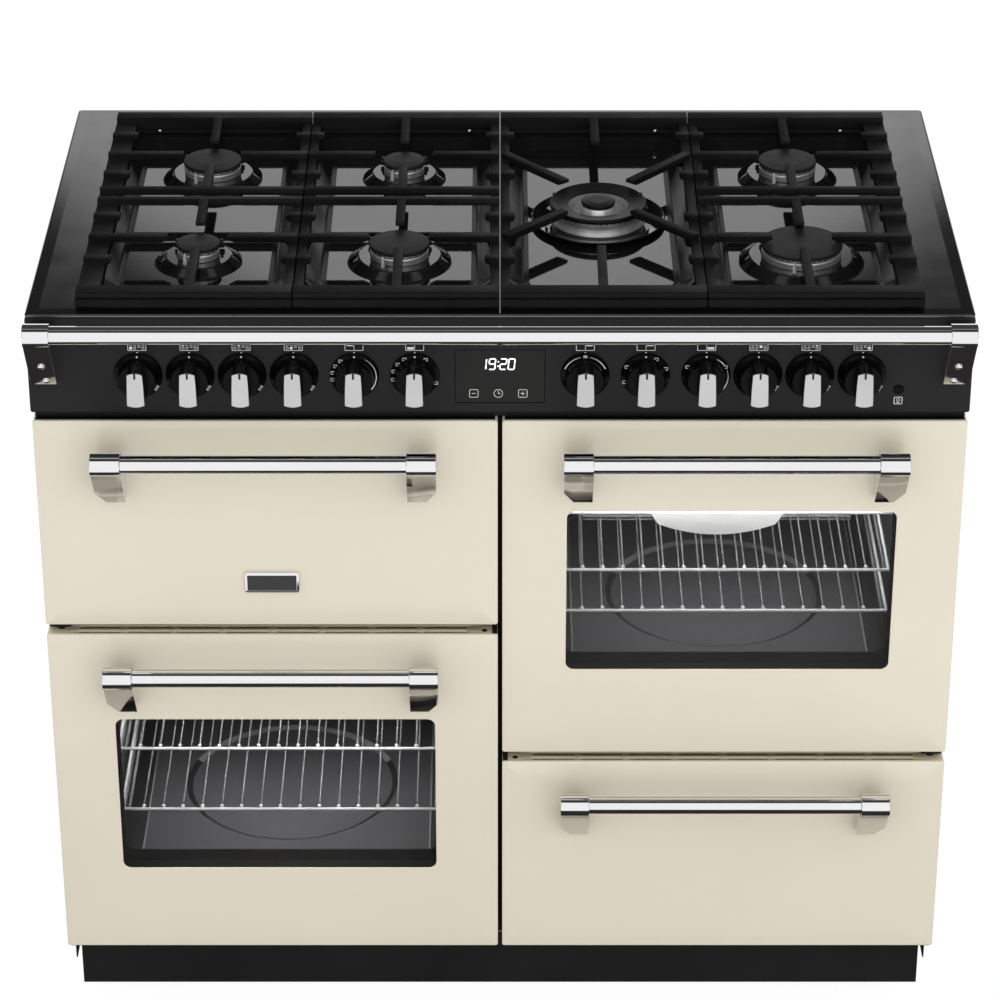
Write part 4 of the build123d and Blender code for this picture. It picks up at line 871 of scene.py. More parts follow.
@cache
def ports() -> Pattern:
    """Upright slots round a circle, as a burner's flame ports.

    Returns:
        The pattern, made once.
    """
    made = Pattern("ports")
    count, radius = made.input("Count", "Int"), made.input("Radius", "Float")
    size = made.input("Slot", "Vector")
    ring = made.node("GeometryNodeMeshCircle", {"Vertices": count, "Radius": radius})
    slot = made.node("GeometryNodeMeshCube", {"Size": size})
    where = made.node("GeometryNodeInputPosition", {})
    facing = made.node("FunctionNodeAlignRotationToVector", {"Vector": where}, axis="X")
    links = {"Points": ring, "Instance": slot, "Rotation": facing}
    return made.close(made.node("GeometryNodeInstanceOnPoints", links))


def mount(piece: Piece, slot: str, *replaces: str, body: str = "root") -> None:
    """Put a piece on a body.

    Args:
        piece: The finished object.
        slot: Material slot of the record; not used.
        replaces: CAD nodes that it stands for.
        body: CAD body that it rides on.
    """
    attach(piece, body)
    if replaces:
        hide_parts(*replaces)
    log.info("%s on %s: %d faces", piece.name, body, len(piece.data.polygons))


def dress(node: str, finish: Finish) -> None:
    """Give a CAD node its finish.

    Args:
        node: Name of the node.
        finish: Its new finish.
    """
    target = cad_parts[node]
    target.data.materials.clear()
    target.data.materials.append(finish.material())
    log.info("%s keeps its solid, in %s", node, finish.name)


# Hob


@dataclass
class Burner:
    """Place and cap radius of one burner."""

    x: float
    row: float
    cap: float


@dataclass
class Hob:
    """Pressed top with its wells, burners and pan supports."""

    pitch: float = 218.7
    row_front: float = 158.5
    row_back: float = 385.5
    wok_row: float = 266.0
    caps: Point3 = (24.0, 33.0, 44.5)
    well: Point2 = (200.0, 418.0)
    well_front: float = 64.0
    well_corner: float = 34.0
    well_depth: float = 12.0
    well_slope: float = 16.0
    well_flat: float = 6.0
    lip: float = 3.0
    skirt: float = 16.0
    sheet: float = 1.4
    edge: float = 2.5
    corner: float = 5.0
    boss_height: float = 8.0
    boss_slope: float = 11.0
    flange: float = 12.0
    cap_top: float = 12.2
    cap_height: float = 5.2
    head_step: Point2 = (6.6, 7.6)
    wok_seat: float = 2.0
    wok_dish: float = 75.0
    dish_lip: float = 4.0
    wok_ring: Point2 = (33.0, 54.0)
    wok_centre: float = 20.0
    wok_lift: float = 2.0
    wok_rim: float = 1.6
    probe: tuple[Point2, ...] = ((0.0, 0.0), (2.0, 0.0), (1.9, 5.0), (0.9, 12.2), (0.0, 12.4))
    probe_reach: float = 4.6
    probe_turns: Point2 = (27.0, 13.0)
    pins: tuple[float, ...] = (-397.0, -35.6, 181.0, 397.0)
    pin_row: float = 486.0
    pin_rise: float = 4.0
    grate_front: float = 11.0
    grate_back: float = 507.0
    end_bar: float = 20.0
    grate_gap: float = 1.4
    grate_overhang: float = 10.0
    bar_foot: float = 6.0
    ledge: Point2 = (6.0, 14.0)
    undercut_shade: Point2 = (14.0, 18.6)
    pin_radius: float = 2.6
    pin_height: float = 1.6
    boss_run: float = 5.0
    boss_shelf: float = 8.0
    boss_edge: float = 4.0
    well_edge: float = 9.0
    lid_crown: float = 0.55
    port_drop: float = 1.4
    port_pitch: Point2 = (7.0, 9.0)
    port_share: float = 0.12
    port_depth: float = 1.2
    inner_ports: Point2 = (4.5, 5.4)

    def columns(self) -> list[float]:
        """X of the four columns."""
        return [(i - 1.5) * self.pitch for i in range(4)]

    def burners(self) -> list[Burner]:
        """The six plain burners.

        Returns:
            The burners, column by column.
        """
        x = self.columns()
        back, front = self.row_back, self.row_front
        small, medium, large = self.caps
        sizes = ((0, back, medium), (0, front, small), (1, back, small), (1, front, medium))
        sizes += ((3, back, medium), (3, front, large))
        return [Burner(x[i], row, cap) for i, row, cap in sizes]

    def build(self) -> None:
        """Make and seat every piece of the hob."""
        self._top()
        self._heads()
        self._lids()
        self._wok_lids()
        self._wok_dish()
        self._trim()
        self._ports()
        pins = [(x, y_at(self.pin_row), RIM + self.pin_rise) for x in self.pins]
        sizes = {"Radius": self.pin_radius, "Height": self.pin_height, "Facing": (QUARTER, 0.0, 0.0)}
        piece = heads().run("support_pins", pins, WIRE, **sizes)
        mount(piece, "support_iron")
        for node in ("twin_pan_supports", "wok_pan_support"):
            mould = Mould()
            mould.take(node)
            mount(mould.piece(f"{node}_cast", IRON, bevel=1.3), "support_iron", node)
        self._ledges()
        dress("spark_electrodes", SPARK_BLACK)
        self._probes()

    def _ledges(self) -> None:
        """Stepped foot of the supports' end bars, down to the top sheet, with dark boxes of painted shade.
        """
        mould = Mould()
        columns, half = self.columns(), (self.pitch - self.grate_gap) / 2
        near, far = self.grate_front, self.grate_back - self.end_bar
        reach, top = self.ledge
        boxes = [(near - reach, near + 1.0, self.bar_foot, top, 0)]
        # Painted shade: a dark slab in the undercut above the front ledge, and dark fill under both end
        # bars.
        boxes.append((near - 0.4, near + 0.5, *self.undercut_shade, 1))
        for row in (near, far):
            boxes.append((row + 2.0, row + self.end_bar - 2.0, 0.3, self.bar_foot + 0.5, 1))
        for x in columns:
            left = x - half - (self.grate_overhang if x == columns[0] else 0.0)
            right = x + half + (self.grate_overhang if x == columns[-1] else 0.0)
            for front, back, low, high, index in boxes:
                mould.box((left, y_at(front), RIM + low), (right, y_at(back), RIM + high), index)
        mount(mould.piece("support_ledges", IRON, BLACK_AND_SHADE, bevel=0.7, crease=30), "support_iron")

    def _top(self) -> None:
        """Top sheet: rim, margins, four wells and the seats of the burners."""
        mould = Mould()
        low, high = span("hob_tray")
        tray = Rect(((low.x + high.x) / 2, (low.y + high.y) / 2), (high - low).xy[:], self.corner)
        profile = rounded([(0.0, -self.skirt), (0.0, 0.0), (14.0, 0.0)], self.edge)
        rings = []
        for ring in tray.plan(profile):
            rings.append([(x, y, max(z, RIM - self.lip) if y < low.y + 3.0 else z) for x, y, z in ring])
        _, outer = mould.rings(rings)
        mould.fill(outer, *[self._well(mould, x) for x in self.columns()], index=1)
        piece = mould.piece("hob_top", HOB_BLACK, HOB_MARGIN, WELL_SLOPE, wall=self.sheet)
        mount(piece, "hob_enamel", "hob_tray")

    def _well(self, mould: Mould, x: float) -> list:
        """One well with its burner seats.

        Args:
            mould: Mesh of the top sheet.
            x: X of the well's middle.

        Returns:
            Its rim loop.
        """
        depth, slope, flat = self.well_depth, self.well_slope, self.well_flat
        corners = [(-flat, 0.0), (0.0, 0.0), (slope, -depth), (slope + flat, -depth)]
        rect = Rect((x, y_at(self.well_front + self.well[1] / 2)), self.well, self.well_corner, ease=0.5)
        rim, floor = mould.rings(rect.plan(rounded(corners, self.well_edge, steps=6)), index=2)
        seats = [(b.row, b.cap + self.flange, self.boss_height) for b in self.burners() if b.x == x]
        seats = seats or [(self.wok_row, self.wok_dish - self.boss_slope, self.wok_seat)]
        mould.fill(floor, *[self._boss(mould, x, *seat) for seat in seats])
        return rim

    def _boss(self, mould: Mould, x: float, row: float, radius: float, full: float) -> list:
        """Raised seat of a burner.

        Args:
            mould: Mesh of the top sheet.
            x: X of the burner.
            row: Length behind the front edge.
            radius: Radius of its top.
            full: Height of its top.

        Returns:
            Its foot loop.
        """
        foot = radius + self.boss_slope
        start = min(foot + self.boss_run, self.well[0] / 2 - self.well_slope - self.well_flat - 1.0)
        corners = [(start, 0.0), (foot, 0.0), (radius, full), (radius - self.boss_shelf, full)]
        profile = rounded(corners, self.boss_edge)
        first, last = mould.turned(profile, Turn.UP, self._seat(x, row, 0.0))
        mould.fill(last)
        return first

    def _seat(self, x: float, row: float, full: float) -> Point3:
        """Top of a burner's boss of one height."""
        return (x, y_at(row), RIM - self.well_depth + full)

    def _wok_place(self) -> Point3:
        """Top of the wok burner's boss."""
        return self._seat(self.columns()[2], self.wok_row, self.wok_seat)

    def _crown_height(self, full: float) -> float:
        """Height of a burner head above a boss of one height."""
        return self.cap_top - self.cap_height + self.well_depth - full

    def _heads(self) -> None:
        """Aluminium flame spreaders, with the wok burner's double crown."""
        mould = Mould()
        top, (low, high) = self._crown_height(self.boss_height), self.head_step
        for burner in self.burners():
            foot, neck = burner.cap - 1.0, burner.cap - 2.0
            corners = [(0.0, 0.0), (foot, 0.0), (foot, low), (neck, high), (neck, top), (0.0, top)]
            seat = self._seat(burner.x, burner.row, self.boss_height)
            mould.turned(rounded(corners, 0.8, 3), Turn.UP, seat, ROUND)
        top = self._crown_height(self.wok_seat)
        inner, outer = self.wok_ring
        centre, peak = self.wok_centre, top + self.wok_lift
        crown = [(0.0, 0.0), (outer - 1.0, 0.0), (outer - 1.4, 2.0), (outer - 6.0, 4.0)]
        crown += [(outer - 3.0, top - 4.0), (outer - 3.0, top), (inner + 3.0, top), (inner + 2.0, 8.0)]
        crown.append((centre + 8.0, 8.0))
        crown += [(centre + 6.0, 10.5), (centre + 2.0, 11.5), (centre - 1.0, peak), (0.0, peak)]
        mould.turned(rounded(crown, 0.8, 3), Turn.UP, self._wok_place(), FINE)
        mount(mould.piece("burner_spreaders", ALUMINIUM), "burner_aluminium", "burner_heads")

    def _wok_dish(self) -> None:
        """Black dished ring round the wok burner."""
        mould = Mould()
        inner, flat, outer = self.wok_ring[1] - 1.0, self.wok_dish - self.boss_slope, self.wok_dish
        lip = self.dish_lip
        dish = [(inner, 0.0), (flat, 0.0), (outer, lip), (outer - 1.5, lip + 0.6), (flat - 1.0, 2.0)]
        dish += [(inner, 2.0), (inner, 0.0)]
        mould.turned(rounded(dish, 0.6, 3), Turn.UP, self._wok_place(), FINE)
        mount(mould.piece("wok_dish_ring", HOB_BLACK), "hob_enamel")

    def _probes(self) -> None:
        """Pale ceramic flame probes at the front left of the plain burners."""
        mould = Mould()
        for burner in self.burners():
            turn = math.radians(self.probe_turns[burner.cap == max(self.caps)])
            reach = burner.cap + self.probe_reach
            x, row = burner.x - reach * math.sin(turn), burner.row - reach * math.cos(turn)
            mould.turned(rounded(self.probe, 0.5, 3), Turn.UP, self._seat(x, row, self.boss_height), 20)
        mount(mould.piece("flame_probes", PROBE_WHITE), "electrode_ceramic")

    def _trim(self) -> None:
        """Thin metal strip between the hob and the fascia, standing in for the highlight on the hob's front
        edge.
        """
        low, high = span("hob_tray")
        mould = Mould()
        level, face = RIM - self.lip, FRONT - 0.7
        mould.box((low.x + 1.0, face, level), (high.x - 1.0, face + 2.0, level + 1.1))
        mount(mould.piece("hob_front_highlight_strip", EDGE_HIGHLIGHT, bevel=0.3), "fascia_paint")

    def _lid(self, mould: Mould, x: float, row: float, rise: float, radius: float) -> None:
        """One round lid with a softly rounded rim.

        Args:
            mould: Mesh of the lids.
            x: X of the burner.
            row: Length behind the front edge.
            rise: Height above the plain lids.
            radius: Radius of the lid.
        """
        full = self.cap_height
        flat = radius * self.lid_crown
        corners = [(0.0, 0.0), (radius, 0.0), (radius, full - 1.0), (flat, full), (0.0, full)]
        seat = (x, y_at(row), RIM + self.cap_top - full + rise)
        mould.turned(rounded(corners, 1.8), Turn.UP, seat, ROUND)

    def _lids(self) -> None:
        """Black lids of the plain burners."""
        mould = Mould()
        for burner in self.burners():
            self._lid(mould, burner.x, burner.row, 0.0, burner.cap)
        mount(mould.piece("burner_lids", CAP_BLACK), "cap_enamel", "burner_caps")

    def _wok_lids(self) -> None:
        """Dished ring lid and centre lid of the wok burner."""
        mould = Mould()
        inner, outer = self.wok_ring
        full, rim = self.cap_height, self.wok_rim
        x = self.columns()[2]
        ring = [(inner + 1.0, 0.0), (outer, 0.0), (outer, full - rim), (outer - rim, full), (inner, rim)]
        ring.append(ring[0])
        mould.turned(rounded(ring, 1.2), Turn.UP, (x, y_at(self.wok_row), RIM + self.cap_top - full), FINE)
        self._lid(mould, x, self.wok_row, self.wok_lift, self.wok_centre - 1.0)
        mount(mould.piece("wok_lids", WOK_BLACK), "cap_enamel")

    def _ports(self) -> None:
        """Flame ports below the caps, as dark slots of painted shade."""
        level = RIM + self.cap_top - self.cap_height - self.port_drop
        wok = (self.columns()[2], self.wok_row)
        (close, wide), (reach, drop) = self.port_pitch, self.inner_ports
        rings = [(f"{i}", b.x, b.row, b.cap - 2.0, level, close) for i, b in enumerate(self.burners(), 1)]
        rings.append(("wok_outer", *wok, self.wok_ring[1] - 3.0, level, close))
        rings.append(("wok_inner", *wok, self.wok_centre + reach, level - drop, wide))
        for name, x, row, radius, z, pitch in rings:
            count, slot = int(2 * math.pi * radius / pitch), pitch * self.port_share
            sizes = {"Count": count, "Radius": radius, "Slot": (self.port_depth, slot, 2 * slot)}
            piece = ports().run(f"flame_ports_{name}", [(x, y_at(row), z)], BLACK_AND_SHADE, **sizes)
            mount(piece, "cap_enamel")


# Controls


class Print:
    """Flat printed marks in an upright plane."""

    def __init__(self, y: float) -> None:
        """Start a print on a plane that faces the viewer."""
        self.mould = Mould()
        self.y = y

    def shape(self, *outlines: Sequence[Point2]) -> None:
        """A filled outline, with an optional hole."""
        self.mould.fill(*[self.mould.loop([(x, self.y, z) for x, z in points]) for points in outlines])

    def box(self, centre: Point2, size: Point2, line: float, corner: float = 0.6) -> None:
        """Outlined rectangle."""
        rect = Rect(centre, size, corner, steps=3)
        self.shape(rect.outline(0.0), rect.outline(line))

    def ring(self, centre: Point2, radius: float, line: float) -> None:
        """Outlined circle."""
        self.shape(circle(centre, radius, 24), circle(centre, radius - line, 24))

    def dot(self, centre: Point2, radius: float) -> None:
        """Filled circle."""
        self.shape(circle(centre, radius, 20))

    def stroke(self, start: Point2, end: Point2, line: float) -> None:
        """Straight stroke with square ends.

        Args:
            start: First end.
            end: Last end.
            line: Width.
        """
        a, b = Vector(start), Vector(end)
        side = Vector((-(b - a).y, (b - a).x)).normalized() * line / 2
        self.shape([tuple(p) for p in (a - side, b - side, b + side, a + side)])

    def piece(self, name: str, finish: Finish, thickness: float = 0.08) -> Piece:
        """The print as a thin closed piece on its plane.

        Args:
            name: Name of the piece.
            finish: Finish of the print.
            thickness: How far it stands out.

        Returns:
            The piece.
        """
        bm = self.mould.bm
        made = bmesh.ops.extrude_face_region(bm, geom=list(bm.faces))
        moved = [item for item in made["geom"] if isinstance(item, bmesh.types.BMVert)]
        bmesh.ops.translate(bm, vec=Vector((0, -thickness, 0)), verts=moved)
        return self.mould.piece(name, finish, crease=30)


@dataclass
class Knob:
    """Black knob with a skirt, a barrel and a metal-faced grip."""

    number: int
    settings: tuple[float, ...] = ()
    arcs: tuple[Point2, ...] = ()
    back: float = -2.4
    skirt: float = 26.3
    barrel: float = 20.5
    barrel_height: float = 17.0
    projection: float = 38.0
    face: float = 2.5
    grip_width: Point2 = (16.6, 19.0)
    notch: Point2 = (2.2, 6.5)
    dashes: tuple[float, ...] = (-28.0, -34.0, -40.0)
    rim: Point2 = (0.6, 2.2)
    cove: Point2 = (1.6, 4.6)
    cove_top: float = 7.0
    draft: float = 0.8
    grip_inset: float = 0.3
    grip_foot: float = 3.0
    face_edge: float = 1.2
    notch_inset: float = 0.6
    notch_proud: float = 0.06
    mark_inset: float = 3.0
    mark_level: float = 4.3
    dash: Point2 = (1.6, 0.8)
    setting: Point2 = (4.0, 3.4)
    setting_line: float = 0.45
    arc_width: Point2 = (0.1, 0.55)

    def build(self) -> None:
        """Make and seat the knob's pieces."""
        self._body()
        self._grip()
        self._face()
        self._marks()

    @property
    def body(self) -> str:
        """CAD body and node of the knob."""
        return f"knob_{self.number}"

    @property
    def seat(self) -> Point3:
        """Middle of the knob's back."""
        at = middle(self.body)
        return (at.x, y_at(self.back), at.z)

    def _body(self) -> None:
        """Turned skirt and barrel."""
        skirt, barrel, top = self.skirt, self.barrel, self.barrel_height
        (shy, rim), (spread, foot) = self.rim, self.cove
        corners = [(0.0, 0.0), (skirt, 0.0), (skirt - shy, rim), (barrel + spread, foot)]
        corners += [(barrel, self.cove_top), (barrel - self.draft, top), (0.0, top)]
        mould = Mould()
        mould.turned(rounded(corners, 1.4), Turn.OUT, self.seat, ROUND)
        piece = mould.piece(f"{self.body}_barrel", GLOSS_BLACK)
        mount(piece, "knob_black", self.body, body=self.body)

    def _stack(self, profile: Sequence[Point2]) -> Mould:
        """Closed stack of grip outlines, round at the ends and flared.

        Args:
            profile: Inset and height of each outline.

        Returns:
            The stack's mesh.
        """
        rings, seat = [], self.seat
        for inset, height in profile:
            reach, points = self.barrel - 0.5 - inset, []
            for wide, sign in zip(self.grip_width[::-1], (-1, 1)):
                limit = math.asin((wide / 2 - inset) / reach)
                for a in steps_to(limit, -limit, 12):
                    points.append((sign * reach * math.sin(a), sign * reach * math.cos(a)))
            rings.append([(seat[0] + x, seat[1] - height, seat[2] + z) for x, z in points])
        mould = Mould()
        mould.solid(rings)
        return mould

    def _grip(self) -> None:
        """Black core of the grip."""
        top, inset = self.projection - self.face, self.grip_inset
        mould = self._stack([(inset, self.grip_foot), (inset, top - inset), (inset, top)])
        piece = mould.piece(f"{self.body}_grip", GLOSS_BLACK, crease=35)
        mount(piece, "knob_black", body=self.body)

    def _face(self) -> None:
        """Metal face with a rounded edge and a pointer notch painted as a dark sheet of shade."""
        low, top, seat = self.projection - self.face, self.projection, self.seat
        mould = self._stack(rounded([(0.0, low), (0.0, top), (4.0, top)], self.face_edge, 4, 0.1))
        head = seat[2] + self.barrel - self.notch_inset
        notch = round_rect((seat[0], head - self.notch[1] / 2), self.notch, 0.8, 4)
        proud = self.face + self.notch_proud
        # The notch is painted shade: a dark prism just proud of the face.
        mould.prism([(x, seat[1] - low, z) for x, z in notch], (0, -proud, 0), index=1)
        piece = mould.piece(f"{self.body}_face", GRIP_METAL, BLACK_AND_SHADE, crease=40)
        mount(piece, "knob_black", body=self.body)

    def _marks(self) -> None:
        """White setting dot and dashes on the skirt."""
        ring, seat = self.skirt - self.mark_inset, self.seat
        made = Print(seat[1] - self.mark_level)

        def at(angle: float, off: float = 0.0) -> Point2:
            """Point at an angle, off the ring of the marks."""
            a = math.radians(angle)
            return (seat[0] + (ring + off) * math.cos(a), seat[2] + (ring + off) * math.sin(a))

        made.dot(at(90.0), 1.0)
        half, line = self.dash
        for angle in () if self.settings else self.dashes:
            made.stroke(at(angle, -half), at(angle, half), line)
        for angle in self.settings:
            made.box(at(angle), self.setting, self.setting_line, 0.5)
        for arc in self.arcs:
            edge = list(zip(steps_to(*arc, 8), steps_to(*self.arc_width, 8)))
            made.shape([at(a, w) for a, w in edge] + [at(a, -w) for a, w in edge[::-1]])
        mount(made.piece(f"{self.body}_marks", INK, 0.3), "knob_black", body=self.body)


@dataclass
class Fascia:
    """Control panel with its clock, marks, light button and knobs."""

    edge: float = 2.2
    corner: float = 3.0
    proud: float = 2.0
    fold: float = 16.0
    button_radius: float = 5.0
    clock_margin: float = 16.0
    clock_gap: float = 0.4
    digit: Point2 = (6.4, 12.4)
    digit_line: float = 1.3
    digit_slant: float = 0.09
    clock_drop: float = 57.5
    clock_icons_drop: float = 92.2
    clock_icon_shift: float = -1.8
    clock_icon_pitch: float = 26.0
    icon_line: float = 0.5
    icon_size: Point2 = (19.6, 9.6)
    icon_rise: float = 28.5
    dot_rise: float = 25.9
    glass_drop: float = 0.4
    print_drop: float = 0.35
    time: tuple[tuple[str, float], ...] = (
        ("bc", -21.6), ("abcdfg", -12.0), ("abged", -0.3), ("abcdef", 8.5),
    )
    digit_gap: float = 0.35
    colon_across: float = -2.5
    colon_shares: Point2 = (0.3, 0.72)
    colon_dot: float = 0.8
    touch_box: Point2 = (9.6, 9.6)
    touch_corner: float = 1.4
    touch_arm: float = 2.2
    clock_ring: float = 4.9
    hands: Point2 = (3.0, 2.4)
    light_icon: Point2 = (9.0, 8.6)
    light_icon_drop: float = 5.9
    burner_plan: Point3 = (6.4, 2.2, 1.9)
    burner_dots: Point2 = (1.7, 1.5)
    door_plan: Point2 = (4.4, 2.0)
    door_mark: Point2 = (7.0, 2.8)
    door_line: float = 3.6
    dials: dict[int, tuple[tuple[float, ...], tuple[Point2, ...]]] = field(default_factory=lambda: {
        5: ((128.0, 148.0, 168.0, 188.0), ((60.0, -40.0),)),
        6: ((60.0, -18.0, 118.0, 141.0, 164.0, 188.0), ()),
        7: ((90.0,), ((78.0, 24.0), (102.0, 156.0))),
        8: ((62.0, 24.0, 150.0, 196.0), ()),
        9: ((30.0, 150.0), ((62.0, 38.0), (20.0, -50.0))),
    })

    def build(self) -> None:
        """Make and seat everything on the fascia."""
        self._panel()
        self._clock()
        self._digits()
        self._clock_icons()
        self._icons()
        self._button()
        for number in KNOBS:
            Knob(number, *self.dials.get(number, ())).build()

    def _panel(self) -> None:
        """Folded panel with rounded edges, the clock window and the button hole."""
        mould = Mould()
        face, back = y_at(-self.proud), y_at(2.0)
        profile = rounded([(self.fold, back), (0.0, back), (0.0, face), (6.0, face)], self.edge)
        _, outer = mould.rings(Rect.facing("control_fascia", self.corner).front(profile))
        window = Rect.facing("clock_display", 2.0, self.clock_margin - 2 * self.clock_gap)
        hole, _ = mould.rings(window.front(rounded([(-3.0, face), (0.0, face), (0.0, back)], 0.5)))
        at, rim = middle("light_button"), self.button_radius + 0.4
        profile = [(r, -y) for r, y in rounded([(9.0, face), (rim, face), (rim, back)], 0.8)]
        button, _ = mould.turned(profile, Turn.OUT, (at.x, 0.0, at.z), 32)
        mould.fill(outer, hole, button)
        mount(mould.piece("control_panel", FASCIA_BLACK, wall=1.0), "fascia_paint", "control_fascia")

    def _clock(self) -> None:
        """Black glass of the clock on its case."""
        mould = Mould()
        face = y_at(-self.proud + self.glass_drop)
        glass = Rect.facing("clock_display", 1.6, self.clock_margin, ease=0.2)
        mould.solid(glass.front(rounded([(0.0, y_at(20.0)), (0.0, face), (6.0, face)], 0.5)))
        mount(mould.piece("clock_glass", GLASS_BLACK), "display_glass", "clock_display")

    def _digits(self) -> None:
        """Seven-segment time with its colon."""
        wide, tall = self.digit
        half, slant = tall / 2, self.digit_slant
        segments = {
            "a": (0, tall, wide, tall), "b": (wide, tall, wide, half), "c": (wide, half, wide, 0),
            "d": (0, 0, wide, 0), "e": (0, half, 0, 0), "f": (0, tall, 0, half), "g": (0, half, wide, half),
        }
        made = Print(y_at(-self.proud + self.print_drop))
        level = RIM - self.clock_drop - half
        for lit, left in self.time:
            for x0, z0, x1, z1 in (segments[name] for name in lit):
                run = Vector((x1 - x0, z1 - z0)).normalized() * self.digit_line * self.digit_gap
                start = (left + x0 + run.x + slant * z0, level + z0 + run.y)
                end = (left + x1 - run.x + slant * z1, level + z1 - run.y)
                made.stroke(start, end, self.digit_line)
        for height in (share * tall for share in self.colon_shares):
            made.dot((self.colon_across + slant * height, level + height), self.colon_dot)
        mount(made.piece("clock_digits", DIGITS, 0.05), "display_glass")

    def _clock_icons(self) -> None:
        """Minus, clock and plus touch marks."""
        made = Print(y_at(-self.proud + self.print_drop))
        level, x = RIM - self.clock_icons_drop, self.clock_icon_shift
        line, arm, (up, right_hand) = self.icon_line, self.touch_arm, self.hands
        left, right = x - self.clock_icon_pitch, x + self.clock_icon_pitch
        for mark in (left, right):
            made.box((mark, level), self.touch_box, line, self.touch_corner)
            made.stroke((mark - arm, level), (mark + arm, level), line)
        made.stroke((right, level - arm), (right, level - line / 2), line)
        made.stroke((right, level + line / 2), (right, level + arm), line)
        made.ring((x, level), self.clock_ring, line)
        made.stroke((x, level + up), (x, level - 0.3), line)
        made.stroke((x + line / 2, level), (x + right_hand, level), line)
        mount(made.piece("clock_touch_marks", INK, 0.05), "display_glass")

    def _icons(self) -> None:
        """Marks above the knobs and beside the light button."""
        made = Print(y_at(-self.proud))
        for number in KNOBS:
            at = middle(f"knob_{number}")
            made.dot((at.x, at.z + self.dot_rise), 0.9)
            centre = Vector((at.x, at.z + self.icon_rise + self.icon_size[1] / 2))
            made.box(centre, self.icon_size, 0.55)
            if number in self.dials:
                self._oven_icon(made, centre, number)
            else:
                self._burner_icon(made, centre, number)
        x, z = middle("light_button").x, span("light_button")[0].z - self.light_icon_drop
        made.box((x, z), self.light_icon, 0.6, 1.0)
        made.ring((x, z + 0.6), 1.9, 0.5)
        made.stroke((x - 1.6, z - 2.4), (x + 1.6, z - 2.4), 0.6)
        mount(made.piece("fascia_marks", INK), "fascia_paint")

    def _burner_icon(self, made: Print, centre: Vector, number: int) -> None:
        """Plan of the hob with one burner filled in.

        Args:
            made: The print.
            centre: The icon's middle.
            number: Number of the knob.
        """
        out, near, row = self.burner_plan
        dot, ring = self.burner_dots
        places = {
            1: (-out, -row), 2: (-out, row), 3: (-near, row), 4: (-near, -row),
            10: (near, 0.0), 11: (out, row), 12: (out, -row),
        }
        for owner, place in places.items():
            spot = centre + Vector(place)
            if owner == number:
                made.dot(spot, dot)
            else:
                made.ring(spot, ring, 0.4)

    def _oven_icon(self, made: Print, centre: Vector, number: int) -> None:
        """Plan of the doors with one cavity filled in.

        Args:
            made: The print.
            centre: The icon's middle.
            number: Number of the knob.
        """
        (side, row), reach = self.door_plan, Vector((0.0, self.door_line))
        quarters = {5: (-side, row), 6: (-side, -row), 7: (side, row), 8: (side, row), 9: (side, -row)}
        made.shape(round_rect(centre + Vector(quarters[number]), self.door_mark, 0.3, 2))
        made.stroke(centre - reach, centre + reach, self.icon_line)

    def _button(self) -> None:
        """Domed light button with a ringed edge."""
        low, high = span("light_button")
        at, full, r = middle("light_button"), high.y - low.y, self.button_radius
        corners = [(0.0, 0.0), (r, 0.0), (r, full - 0.2), (r - 1.4, full), (r - 1.8, full - 0.6)]
        corners.append((0.0, full - 0.2))
        mould = Mould()
        mould.turned(rounded(corners, 0.5, 3), Turn.OUT, (at.x, high.y, at.z), 48)
        piece = mould.piece("light_button_cap", GLOSS_BLACK)
        mount(piece, "button_black", "light_button", body="light_button")


# Handrail and handles


def tube(name: str, left: Point3, long: float, radius: float) -> Piece:
    """Chrome tube to the right of a point.

    Args:
        name: Name of the piece.
        left: Left end of its axis.
        long: Length.
        radius: Radius.

    Returns:
        The piece.
    """
    stops = [0.0, 2.0, long - 2.0, long]
    mould = Mould()
    mould.turned([(0.0, 0.0), *((radius, stop) for stop in stops), (0.0, long)], Turn.RIGHT, left, FINE)
    return mould.piece(name, CHROME, crease=40)


def sleeve(name: str, left: Point3, long: float, radius: float, edge: float) -> Piece:
    """Chrome sleeve with rounded ends to the right of a point.

    Args:
        name: Name of the piece.
        left: Left end of its axis.
        long: Length.
        radius: Radius.
        edge: Radius of the ends.

    Returns:
        The piece.
    """
    mould = Mould()
    corners = [(0.0, 0.0), (radius, 0.0), (radius, long), (0.0, long)]
    mould.turned(rounded(corners, edge), Turn.RIGHT, left, FINE)
    return mould.piece(name, CHROME)


def arm_outline(circle_at: Point2, radius: float, foot: Point2, foot_size: Point2) -> list[Point2]:
    """Side view of a cast arm: the hull of a round and its foot.

    Args:
        circle_at: Y and Z of the round's centre.
        radius: Radius of the round.
        foot: Y and Z of the foot's lower corner at the back.
        foot_size: Depth and height of the foot.

    Returns:
        Hull points in order.
    """
    (back, low), (depth, height) = foot, foot_size
    corners = [(y, z) for y in (back - depth, back) for z in (low, low + height)]
    points = [Vector(p) for p in (*circle(circle_at, radius, 40), *corners)]
    return [tuple(points[i]) for i in convex_hull_2d(points)]


